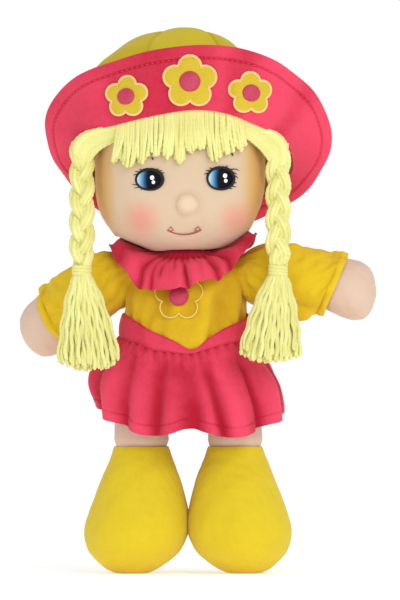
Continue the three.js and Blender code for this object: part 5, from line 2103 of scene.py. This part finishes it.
@dataclass(frozen=True)
class Blouse:
    """The yellow blouse with its ruffle collar, two short sleeves and a stitched flower on the chest."""

    offset: float = 3.0
    cloth: float = 1.3
    collar_cloth: float = 1.1
    neck: float = 14.5
    collar_hem: tuple[tuple[float, float], ...] = (
        (-180, 197), (-140, 200), (-112, 207.5), (-92, 211.5), (-78, 208.5), (-64, 200.5), (-51, 193.2),
        (-42, 185.6), (-30, 182.8), (-11, 182.3), (0, 183.7), (18, 187.9), (32, 190.2), (41, 196.5),
        (52, 203), (64, 211), (76, 217), (92, 218), (112, 211), (140, 202), (180, 197),
    )
    collar_folds: tuple[Fold, ...] = (
        Fold(-50, -37, -3.8, 3.2), Fold(-42, -26.5, -2.9, 2.5), Fold(-32, -19, -2.1, 2.1, 0.0, 0.85),
        Fold(-14, -8.5, -1.5, 1.8, 0, 0.6), Fold(-3, 4, -3.6, 2.6), Fold(33, 29.5, -2.7, 2.9),
        Fold(24, 20, 1.6, 4), Fold(52, 40, -2.9, 3.2), Fold(43, 35, 1.6, 3.2), Fold(60, 52, 2.0, 4),
        Fold(68, 68, -3.0, 4.5), Fold(-60, -50, 1.8, 5), Fold(-68, -66, -2.8, 4.5), Fold(-8, -3, 1.2, 3),
        Fold(9, 11, 1.5, 4.5), Fold(-37, -31.5, 1.0, 2.2), Fold(80, 82, 2.0, 5), Fold(-80, -80, 2.0, 6),
        *back_folds(range(96, 266, 13), 0.0, 2.4, 6.5),
    )
    sleeve_folds: tuple[Fold, ...] = (
        Fold(75, 110, -1.5, 9, 0.0, 1.2), Fold(130, 95, 1.2, 12, 0.1, 1.3), Fold(300, 250, 1.6, 14, 0.1, 1.2),
        Fold(255, 300, -1.7, 9, 0.0, 1.1), Fold(200, 190, 1.1, 12, 0.1, 1.3), Fold(20, 0, 1.1, 14, 0.1, 1.2),
        Fold(330, 335, -1.4, 9, 0.1, 1.1), Fold(215, 240, -1.2, 8, 0.1, 1.0),
    )
    chest: tuple[float, float] = (-4.3, 177.3)
    ground: Ripple = Ripple(41, 22.0)
    small: Ripple = Ripple(42, 9.0)

    def build(self, shop: Workshop) -> None:
        """Makes the blouse's pieces.

        Args:
            shop: the workshop that makes them.
        """
        turn, rise = round_grid(180, np.linspace(0, 1, 70))
        rough = TRUNK.skin(turn, WAIST_TOP, self.offset)
        low = waist_line(rough[..., 0], rough[..., 1]) - 4.5
        height = low + (203.0 - low) * rise
        points = TRUNK.skin(turn, np.minimum(height, 199.5), self.offset - 0.6)
        points[..., 2] = height
        wrinkle = 0.9 * self.ground(points * (1, 1, 0.6)) + 0.4 * self.small(points * (1, 1, 0.5))
        gathers = 0.7 * np.cos(26 * turn) * smooth(-rise, -0.3, 0.0)
        outward = unit(points * (1, 1, 0) + (1e-6, 0, 0))
        points = points + outward * (wrinkle + gathers + 0.6)[..., None]
        x, _, z = np.moveaxis(points, -1, 0)
        # Painted shade: lower overall than on the sleeves, darker in the wrinkles' hollows, near the arms and
        # towards the collar.
        near_arm = smooth(np.abs(x), 26, 40) * smooth(z, 160, 185)
        shade = 0.54 + 0.07 * wrinkle - 0.3 * near_arm - 0.12 * smooth(z, 176, 196)
        shell = cloth_shell(points, self.cloth, shade)
        body = shop.piece("blouse_cloth", shell, "yellow_cotton", "trunk", "blouse_body")
        declare_sheet(points)
        self.collar(shop)
        self.chest_flower(shop)
        for side in Side:
            self.sleeve(shop, side)

    def collar(self, shop: Workshop) -> None:
        """A pleated ring that falls in front and stands out over the shoulders.

        Args:
            shop: the workshop that makes it.
        """
        turn, out = round_grid(360, np.linspace(0, 1, 36))
        degrees = signed_degrees(turn)
        across, back = np.sin(turn), -np.cos(turn)
        curve = out + 0.1 * np.sin(math.pi * out)
        x = -1.6 * out + across * (self.neck + 32.0 * curve)
        y = powered(back, 0.75) * (self.neck + np.where(back < 0, 22.5, 25.5) * curve)
        side = np.abs(across) ** 3
        beside = smooth(np.abs(degrees), 28, 78)
        fallen = 206.2 - 3.7 * smooth(out, 0.02, 0.17) - 1.5 * out
        resting = HEAD.under(x, y) - 2.0 + 1.3 * smooth(out, 0.15, 0.5)
        base = fallen + (resting - fallen) * beside
        hem = table_at(self.collar_hem, degrees)[0]
        share = out**1.35 + (smooth(out, 0.72, 1.0) - out**1.35) * side
        z = base + (hem - base[-1:]) * share
        points = stacked(x, y, z)
        pleat = folded(self.collar_folds, degrees, out) * smooth(out, 0.12, 0.5) * (1 - 0.85 * side)
        tuck = 0.45 * np.cos(34 * turn + 2 * np.sin(3 * turn)) * bell(out, 0.2, 0.12)
        normal = grid_normals(points, True)
        normal = normal * np.sign(normal[..., 2:] + 1e-9)
        points = points + normal * (pleat + tuck - 0.4 * side)[..., None]
        points = ClothRun(gravity=0.05, growth=0.05, cap=0.8).settle(points, out < 0.25)
        # Painted shade: darker in the pleats' hollows and lighter on their ridges, dark near the neck, along
        # the gathering seam, at the sides over the shoulders and in the doll's left wing.
        shade = 0.68 + 0.16 * pleat + 0.3 * tuck - 0.5 * (1 - smooth(out, 0.1, 0.34))
        shade = shade - 0.3 * bell(out, 0.17, 0.03) - 0.3 * beside * smooth(np.abs(across), 0.4, 0.8)
        shade = shade - 0.2 * bell(degrees, 45, 14)
        shell = cloth_shell(points, self.collar_cloth, shade)
        collar = shop.piece("collar_cloth", shell, "pink_cotton", None, "collar_ruffle")
        low, high = (0, 0, 0.188), (0, 0, 0.222)
        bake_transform(collar, "trunk", "head", low, high)
        declare_sheet(points)

    def chest_flower(self, shop: Workshop) -> None:
        """A stitched outline of five petals and a padded round centre.

        Args:
            shop: the workshop that makes it.
        """

        def lay(flat: Array, lift: Array) -> Array:
            """Flat points on the blouse's front, round the flower's middle.

            Args:
                flat: points (..., 2), across and up.
                lift: how far over the cloth they are.

            Returns:
                The points.
            """
            x, z = np.moveaxis(flat + self.chest, -1, 0)
            points = TRUNK.front(x, z, self.offset + 1.4)
            points[..., 1] -= lift
            return points

        rim = flower_outline(15.6, 240)
        path = closed_path(lay(rim, np.full(len(rim), 0.25)))[None]
        thread = tubes(path, 0.42, 8, (0.1, 0.99, 0.1))
        shop.piece("chest_flower_thread", thread, "chest_stitch", "trunk", "chest_flower_outline")
        centre = patch(oval_outline(6.4, 6.4), lay, lambda share: 2.6 * dome(share, 2.6), -0.8)
        shop.piece("chest_flower_dome", centre, "magenta_stitch", "trunk", "chest_flower_centre")

    def sleeve(self, shop: Workshop, side: Side) -> None:
        """A short sleeve, gathered at the shoulder and hemmed at its end.

        Args:
            shop: the workshop that makes it.
            side: the side of the doll.
        """
        left = side is Side.LEFT
        angle, share = round_grid(160, np.linspace(0, 1, 76))
        end = (53 + (6.6 if left else 0.0) * np.sin(angle)) / ARM.length
        start = -15.0 / ARM.length
        along = start + (end - start) * share
        radius = 18 + 1.6 * np.clip(along / 0.68, 0, 1) - 5.5 * smooth(-along, -0.06, 0.2)
        degrees = np.degrees(angle)
        gather = 0.3 * np.cos(11 * angle + 1.1 * np.sin(4 * angle)) * (1 - smooth(share, 0.1, 0.5))
        bulge = folded(self.sleeve_folds, degrees, share) + gather
        raised, lowered = (5.0, 3.6) if left else (3.0, 4.5)
        puffed = raised * bell(share, 0.43, 0.25) + 1.6 * bell(share, 0.78, 0.18)
        bulge = bulge + bell(degrees, 90, 42) * puffed
        bulge = bulge - lowered * bell(degrees, 90, 60) * (1 - smooth(share, 0.06, 0.3))
        if left:
            bulge = bulge + 5.0 * bell(degrees, 268, 26) * bell(share, 0.74, 0.16)
            bulge = bulge - 1.6 * bell(degrees, 262, 22) * bell(share, 0.9, 0.07)
        hem = 0.5 * smooth(share, 0.935, 0.95) - 0.35 * bell(share, 0.925, 0.012)
        points = ARM.placed(ARM.tube(along, angle, radius + bulge + hem - 0.4), side)
        outward = unit(points - ARM.placed(ARM.middle(along), side))
        points = points + outward * (0.25 * self.small(points))[..., None]
        held = (share < 0.16) | (share > 0.97)
        points = ClothRun(pressure=3.0, gravity=0.2, growth=0.03, cap=1.2, step=2).settle(points, held)
        # Painted shade and light: lighter on the puffs, darker in the folds, at the shoulder and in the hem's
        # groove, lighter on the hem beyond it.
        shade = 0.8 + 0.1 * np.minimum(bulge, 1.5) - 0.35 * (1 - smooth(share, 0.02, 0.3))
        shade = shade - 0.2 * bell(share, 0.925, 0.02) + 0.12 * smooth(share, 0.94, 0.96)
        shell = cloth_shell(points, self.cloth, shade)
        word = side.word
        made = shop.piece(f"{word}_sleeve_cloth", shell, "yellow_cotton", None, f"{word}_sleeve")
        near, far = (packed(ARM.placed(ARM.middle(np.array(place)), side)) for place in (-0.22, 0.2))
        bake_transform(made, "trunk", f"{word}_arm", near, far)
        declare_sheet(points)


# The skirt and its waistband


@dataclass(frozen=True)
class Skirt:
    """A gathered skirt in two halves under a pointed waistband."""

    waist_z: float = 152.7
    waist_half: float = 46.0
    hem_half: tuple[float, float] = (62.0, 43.5)
    hem_shift: float = 3.4
    cloth: float = 1.2
    stitch_drop: float = 6.4
    top: tuple[tuple[float, float], ...] = (
        (-60, 152.7), (-46, 151), (-36, 148.5), (-19.5, 143.6), (-9, 142.4), (3, 141.2), (9, 143),
        (19, 145.9), (35, 149.1), (46, 151.5), (60, 152.7),
    )
    hem: tuple[tuple[float, float], ...] = (
        (-66, 106.5), (-58, 105), (-55, 101.5), (-44.5, 96), (-31, 90.4), (-18.9, 88.4), (-10.2, 89.8),
        (-1.6, 92.8), (7.4, 92.8), (14.4, 90.8), (22.1, 88.4), (31.7, 87.8), (43.8, 89.6), (50.2, 92.8),
        (56, 96), (61.1, 98.2), (66.2, 102),
    )
    folds: tuple[Fold, ...] = (
        Fold(9.4, 22, -3.6, 4.0), Fold(4.6, 13.3, 2.6, 4.2), Fold(19, 32, 3.6, 6.5),
        Fold(39, 49.7, -4.6, 4.0), Fold(60, 66, 3.0, 8), Fold(-10, -12.3, 2.6, 6.5, 0.1),
        Fold(-18, -22, -2.6, 4.0), Fold(-30, -33, 2.6, 7), Fold(-43, -46, -2.8, 4.5), Fold(-57, -60, 3.0, 7),
        Fold(-72, -74, -3.0, 5), Fold(0, 3, -2.4, 4, 0.5), Fold(78, 80, -3.0, 5),
        *back_folds(range(106, 256, 12), 2.0, 3.2, 7.5),
    )
    ground: Ripple = Ripple(51, 26.0)

    def top_at(self, turn: Array, level: float) -> Array:
        """How far the skirt's top is from a level: nothing behind, and a point downwards at the front."""
        front = smooth(np.cos(turn), -0.12, 0.3)
        return (table_at(self.top, np.sin(turn) * self.waist_half)[0] - level) * front

    def points(self, turn: Array, down: Array) -> tuple[Array, Array]:
        """The cloth's middle and how far its folds stand out there.

        The top lies on the waist and the hem on a wide oval. Between them the cloth puffs out and then falls.

        Args:
            turn: angles from the front, by the doll's left.
            down: shares of the way down.

        Returns:
            The points and the folds.
        """
        degrees = signed_degrees(turn)
        across, back = np.sin(turn), -np.cos(turn)
        front = smooth(-back, -0.12, 0.3)
        top_z = self.waist_z + self.top_at(turn, self.waist_z)
        waist = TRUNK.skin(turn, top_z, 3.4)
        hem_x = self.hem_shift + across * self.hem_half[0]
        hem_y = back * self.hem_half[1]
        back_z = 105 - 2 * across
        hem_z = back_z + (table_at(self.hem, hem_x)[0] - back_z) * front
        puff = 1 - (1 - down) ** 2.3
        fold = folded(self.folds, degrees, down) * (0.32 + 0.85 * down)
        tuck = 0.75 * np.cos(46 * turn + 3 * np.sin(5 * turn)) * np.exp(-down / 0.16)
        reach = fold + tuck + 8.0 * bell(degrees, -88, 34) * np.sin(math.pi * np.clip(down, 0, 1)) ** 1.3
        x = waist[..., 0] + (hem_x - waist[..., 0]) * puff + across * reach
        y = waist[..., 1] + (hem_y - waist[..., 1]) * puff + back * reach
        z = top_z + (hem_z - top_z) * down
        points = stacked(x, y, z)
        rough = 0.5 * self.ground(points) * smooth(down, 0.05, 0.4)
        points = points + stacked(across, back, 0) * rough[..., None]
        return points, fold + tuck

    def build(self, shop: Workshop) -> None:
        """Makes the halves and the waistband.

        Args:
            shop: the workshop that makes them.
        """
        columns = 456
        turns, downs = round_grid(columns, np.linspace(0, 1, 84))
        ring, folds = self.points(turns, downs)
        ring = ClothRun(gravity=0.6, growth=0.03, cap=3.0).settle(ring, downs < 0.05)
        for side in Side:
            picked = (side.value * np.arange(columns // 2 + 1)) % columns
            points, fold, down, turn = ring[:, picked], folds[:, picked], downs[:, picked], turns[:, picked]
            drop = points[..., 2] - points[-1:, :, 2]
            hem = 1 - smooth(drop, self.stitch_drop - 0.4, self.stitch_drop + 0.4)
            groove = bell(drop, self.stitch_drop, 0.55)
            # Painted shade: darker in the folds' hollows and lighter on their ridges, in the hem's groove,
            # under the waistband and down the front middle.
            shade = 0.54 + 0.13 * fold - 0.25 * groove - 0.2 * (1 - smooth(down, 0.0, 0.12))
            shade = shade - 0.3 * bell(signed_degrees(turn), -6, 24) * smooth(down, 0.0, 0.3)
            shell = cloth_shell(points, self.cloth + 0.5 * hem - 0.5 * groove, shade, wrap=False)
            made = shop.piece(f"{side.word}_skirt_cloth", shell, "pink_cotton", None, "skirt")
            waist, knee = (0, 0, 0.152), (0, 0, 0.1)
            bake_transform(made, "trunk", f"{side.word}_leg", waist, knee)
            weight = np.abs(np.sin(turn)) ** 0.75 * smooth(down, 0.12, 1.0)
            share = made.data.attributes["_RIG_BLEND"].data
            share.foreach_set("value", np.tile(weight.ravel(), 2).astype(np.float32))
            declare_sheet(points)
        self.waistband(shop)

    def waistband(self, shop: Workshop) -> None:
        """A soft band between the waist line and the skirt, pinched to nothing much under the point.

        Args:
            shop: the workshop that makes it.
        """
        turn, down = round_grid(300, np.linspace(0, 1, 22))
        guess = TRUNK.skin(turn, 160, 4.0)
        top = waist_line(guess[..., 0], guess[..., 1])
        low = np.minimum(152.2 + self.top_at(turn, 152.9), top - 2.2)
        broad = smooth(top - low, 2, 9)
        wrinkle = 0.35 * self.ground(guess * (1.5, 1.5, 1)) * broad
        puff = 1.1 * np.sin(math.pi * down) ** 0.7 * broad
        points = TRUNK.skin(turn, top + (low - top) * down, 4.2 + puff + wrinkle)
        # Painted shade: darker along its top and bottom edges and in the wrinkles' hollows.
        shade = 0.6 - 0.25 * bell(down, 0.0, 0.09) - 0.3 * bell(down, 1.0, 0.12) + 0.12 * wrinkle
        shell = cloth_shell(points, 1.5, shade)
        band = shop.piece("waistband_cloth", shell, "pink_cotton", "trunk", "waistband")
        declare_sheet(points)


# The stuffed trunk, arms, legs and boots


@dataclass(frozen=True)
class Body:
    """The stuffed pieces below the head."""

    fill: float = 0.8
    boot_fill: float = 0.85
    leg_radius: float = 17.3
    boot_height: float = 81.5
    boot_half: tuple[float, float] = (32.6, 37.0)
    boot_shares: tuple[tuple[float, ...], ...] = (
        (0, 0.25, 0.3, 1, 1), (0.02, 0.405, 0.46, 1, 1), (0.055, 0.56, 0.6, 0.97, 1),
        (0.11, 0.715, 0.74, 0.9, 1), (0.2, 0.88, 0.9, 0.75, 1), (0.34, 1, 1, 0.5, 0.9),
        (0.47, 0.98, 0.95, 0.3, 0.7), (0.62, 0.87, 0.82, 0.15, 0.4), (0.78, 0.72, 0.66, 0.05, 0.15),
        (0.92, 0.58, 0.51, 0, 0), (1, 0.53, 0.468, 0, 0),
    )
    ground: Ripple = Ripple(61, 24.0)
    fine: Ripple = Ripple(62, 8.0)

    def lumps(self, points: Array, size: float) -> Array:
        """Soft stuffing under the skin."""
        return size * self.ground(points) + 0.25 * size * self.fine(points)

    def build(self, shop: Workshop) -> None:
        """Makes the trunk and the limbs.

        Args:
            shop: the workshop that makes them.
        """
        self.torso(shop)
        for side in Side:
            self.arm(shop, side)
            self.straight_leg(shop, side)
            self.boot(shop, side)

    def torso(self, shop: Workshop) -> None:
        """The trunk with its neck, drawn in between the legs so that they can swing.

        Args:
            shop: the workshop that makes it.
        """
        turn, share = round_grid(96, np.linspace(0.01, 0.985, 60))
        height = 112 + 87.5 * share
        points = TRUNK.skin(turn, height, -0.3)
        between = np.sqrt(np.clip(18.2**2 - (height - HIP_HEIGHT) ** 2, 0, None))
        low = height < 142.2
        limit = np.where(low, 29.6 - between, 60)
        drawn = np.clip(points[..., 0], HIP_MIDDLE - limit, HIP_MIDDLE + limit)
        points[..., 0] = np.where(low, drawn, points[..., 0])
        ring, top = round_grid(96, np.linspace(0, 1, 14))
        radius = 15.5 - 3.2 * smooth(top, 0, 0.35) + 1.0 * smooth(top, 0.6, 1.0)
        neck = stacked(radius * np.sin(ring), -radius * np.cos(ring), 200 + 13.5 * top)
        surface = grid_surface(np.concatenate([points, neck]), caps=True).outward().with_tint(1.0)
        shop.piece("torso_skin", surface, "skin_cloth", "trunk", "torso")

    def limb(self, shop: Workshop, side: Side, word: str, points: Array) -> None:
        """Makes the skin of an arm or a leg from its grid, as a closed piece.

        Args:
            shop: the workshop that makes it.
            side: the side of the doll.
            word: which limb.
            points: the grid of its skin.
        """
        surface = grid_surface(points, caps=True).outward().with_tint(1.0)
        node = f"{side.word}_{word}"
        shop.piece(f"{node}_skin", surface, "skin_cloth", node, node)

    def arm(self, shop: Workshop, side: Side) -> None:
        """An arm with a mitten hand: the radius follows a table, with a faint seam along top and bottom.

        Args:
            shop: the workshop that makes it.
            side: the side of the doll.
        """
        angle, along = round_grid(110, 1.01 - 1.03 * np.linspace(0, 1, 100) ** 1.25)
        tucked = (0.2 + 0.8 * smooth(along, -0.02, 0.32)) * (0.91 + 0.09 * smooth(along, 0.56, 0.67))
        radius = ARM.hand * table_at(ARM.shares, along)[0] * tucked
        points = ARM.placed(ARM.tube(along, angle, radius), side)
        degrees = np.degrees(angle)
        seam = -0.45 * (bell(degrees, 90, 3.2) + bell(degrees, 270, 3.2))
        outward = unit(points - ARM.placed(ARM.middle(along), side))
        points = points + outward * (seam + self.lumps(points, 0.5))[..., None]
        points = ClothRun(pressure=4.0, growth=0.02, cap=1.2).settle(points, along < 0.6, closed=True)
        self.limb(shop, side, "arm", points)

    def straight_leg(self, shop: Workshop, side: Side) -> None:
        """A straight stuffed leg with a round hip end.

        Args:
            shop: the workshop that makes it.
            side: the side of the doll.
        """
        turn, share = round_grid(96, np.linspace(0, 1, 70))
        low, high = 79.0, HIP_HEIGHT + 17.0
        height = low + (high - low) * share
        over = np.clip((height - HIP_HEIGHT) / self.leg_radius, 0, 0.998)
        radius = self.leg_radius * np.sqrt(1 - over**2) - 1.6 * smooth(-height, -86, -80)
        ring = stacked(np.sin(turn), -np.cos(turn), 0)
        points = ring * radius[..., None] + stacked(hip_x(side), 0, height)
        self.limb(shop, side, "leg", points + ring * self.lumps(points, 0.3)[..., None])

    def boot(self, shop: Workshop, side: Side) -> None:
        """A stuffed boot, widest low down and flattened where it stands.

        Args:
            shop: the workshop that makes it.
            side: the side of the doll.
        """
        turn, share = round_grid(140, np.linspace(0, 1, 100))
        up = share**1.15
        width, depth, lean, toe = table_at(self.boot_shares, up)
        x = hip_x(side) + side.value * lean * 6 + width * self.boot_half[0] * np.sin(turn)
        y = -toe * 3 - depth * self.boot_half[1] * np.cos(turn)
        z = up * self.boot_height - 0.5
        points = stacked(x, y, z)
        middle = stacked(hip_x(side), 0, 0.4 * z + 18)
        degrees = np.degrees(turn)
        crease = -1.0 * bell(degrees, 12 * side.value % 360, 8) * bell(z, 14, 5)
        seam = -0.35 * (bell(degrees, 0, 1.6) + bell(degrees, 360, 1.6)) * smooth(z, 6, 14)
        rough = self.lumps(points + 7 * side.value, 0.3) + crease + seam
        rough = rough * smooth(z, 0.5, 8) * (1 - 0.6 * smooth(z, 70, 81))
        points = points + unit(points - middle) * rough[..., None]
        held = (z > self.boot_height - 2) | (z < 1.5)
        stuffed = ClothRun(pressure=4.0, growth=0.02, cap=1.6).settle(points, held, closed=True)
        points = points + (stuffed - points) * smooth(z, 3, 18)[..., None]
        points[..., 2] = np.clip(points[..., 2], 0, 81.3)
        surface = grid_surface(points, caps=True).outward()
        # Darker over the lowest 12 mm, towards the sole.
        surface.with_tint(0.76 - 0.25 * smooth(-surface.points[:, 2], -12, 0))
        word = side.word
        boot = shop.piece(f"{word}_boot_cloth", surface, "boot_cloth", f"{word}_leg", f"{word}_boot")


# The studio


@dataclass(frozen=True)
class Studio:
    """A level camera a long way off, a wide floor of white paper and soft light."""

    distance: float = 6500.0
    lens: float = 609.375
    height: float = 174.7
    across: float = 9.3
    sky: float = 0.7
    aim: Vec = (0.0, 0.0, 180.0)

    def build(self) -> None:
        """Makes the camera, the paper, the lamps and the sky."""
        scene = bpy.context.scene
        scene.view_settings.view_transform = "Standard"
        camera_data = bpy.data.cameras.new("camera")
        camera_data.lens = self.lens
        camera_data.clip_end = 20.0
        camera = bpy.data.objects.new("camera", camera_data)
        camera.location = packed(np.array([self.across, -self.distance, self.height]))
        camera.rotation_euler = (math.pi / 2, 0, 0)
        scene.collection.objects.link(camera)
        scene.camera = camera
        staged = [camera, self.paper()]
        staged.append(self.lamp("key_light", (620, -1400, 1000), 900, 9.5))
        staged.append(self.lamp("fill_light", (-900, -1300, 300), 1400, 2.0))
        world = bpy.data.worlds.new("sky")
        scene.world = world
        world.use_nodes = True
        nodes = world.node_tree.nodes
        sky = next(node for node in nodes if node.type == "BACKGROUND")
        sky.inputs["Color"].default_value = (1.0, 1.0, 1.0, 1.0)
        seen = nodes.new("ShaderNodeLightPath")
        strength = nodes.new("ShaderNodeMapRange")
        for word, value in (("To Min", self.sky), ("To Max", 1.0)):
            strength.inputs[word].default_value = value
        world.node_tree.links.new(seen.outputs["Is Camera Ray"], strength.inputs["Value"])
        world.node_tree.links.new(strength.outputs["Result"], sky.inputs["Strength"])

    def paper(self) -> bpy.types.Object:
        """A wide floor of white paper."""
        reach = np.array([-9000.0, 9000.0])
        x, y = np.meshgrid(reach, reach)
        made = make_object("paper", grid_surface(stacked(x, y, 0), wrap=False))
        white = (0.93, 0.93, 0.93, 1.0)
        glow = {"Emission_Color": (1.0, 1.0, 1.0, 1.0), "Emission_Strength": 0.36}
        made.data.materials.append(Tree("paper", 1.0, 0.0, Base_Color=white, **glow).material)
        return made

    def lamp(self, name: str, place: Vec, size: float, power: float) -> bpy.types.Object:
        """A square lamp that looks at the doll's middle.

        Args:
            name: its name.
            place: where it is.
            size: how long its edges are, in millimetres.
            power: its power in watts.

        Returns:
            The lamp.
        """
        data = bpy.data.lights.new(name, "AREA")
        data.size = size * METRES
        data.energy = power
        lamp = bpy.data.objects.new(name, data)
        start = packed(np.array(place))
        lamp.location = start
        aim = packed(np.array(self.aim)) - start
        tilt = math.atan2(math.hypot(aim[0], aim[1]), -aim[2])
        lamp.rotation_euler = (tilt, 0, math.atan2(-aim[0], aim[1]))
        bpy.context.scene.collection.objects.link(lamp)
        return lamp


def finishes() -> dict[str, bpy.types.Material]:
    """All the materials by their keys, each with its colour and a deeper one: the dark end of its own uneven
    tone and of any painted shade.
    """
    blush = ((-27.8, 225.9, 11.5), (33.0, 225.3, 11.5))
    # The blush blooms are the face's own; its edge colour is painted shade and reflected yellow light at the
    # sides.
    blush_and_edge_light = {"blooms": blush, "bloom_colour": linear(232, 124, 116), "edge": linear(214, 164, 86)}
    felt = linear(214, 186, 52)
    made = {
        "face": BrushedKnit("face cloth", linear(212, 188, 160), linear(214, 184, 152), **blush_and_edge_light),
        "nose": BrushedKnit("nose cloth", linear(226, 202, 173), linear(214, 176, 140)),
        "skin_cloth": BrushedKnit("skin cloth", linear(220, 192, 172), linear(206, 166, 140)),
        "yarn": SoftYarn("yarn", linear(240, 238, 160), linear(224, 217, 122)),
        "crown_cotton": WovenCotton("crown cotton", linear(206, 188, 24), linear(182, 144, 14)),
        "pink_cotton": WovenCotton("pink cotton", linear(234, 70, 100), linear(178, 16, 44)),
        "yellow_cotton": WovenCotton("blouse cotton", linear(226, 191, 30), linear(192, 142, 14)),
        "boot_cloth": WovenCotton("boot cloth", linear(226, 202, 38), linear(206, 160, 20)),
        "yellow_felt": PressedFelt("felt", felt, shaded(felt, 0.72)),
        "pale_stitch": SatinStitch("pale stitching", linear(255, 214, 146), linear(238, 166, 82)),
        "chest_stitch": SatinStitch("chest stitching", linear(248, 230, 122), linear(226, 186, 60)),
        "magenta_stitch": SatinStitch(
            "magenta stitching", linear(206, 52, 92), linear(150, 18, 40), pitch=0.8, slanted=True
        ),
        "black_thread": PlainThread("black thread", linear(22, 20, 26), 0.45),
        "white_thread": PlainThread("white thread", linear(250, 250, 250), 0.4),
        "lip_thread": PlainThread("lip thread", linear(176, 84, 84)),
        "lip_fill": PlainThread("lip fill", linear(224, 168, 146)),
        "brown_thread": PlainThread("brown thread", linear(70, 52, 46)),
        "pink_thread": PlainThread("pink thread", linear(224, 62, 92)),
    }
    for side in Side:
        made[f"{side.word}_eye"] = EyePrint(f"{side.word} eye print", *EYE_PLACES[side])
    return {key: finish.material() for key, finish in made.items()}


def main() -> None:
    """Builds the doll and the studio."""
    logging.basicConfig(level=logging.INFO)
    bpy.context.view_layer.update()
    shop = Workshop(finishes())
    for maker in (Head(), Hair(), Hat(), Blouse(), Skirt(), Body()):
        maker.build(shop)
        LOG.info("made %s", type(maker).__name__)
    Studio().build()


if __name__ == "__main__":
    main()
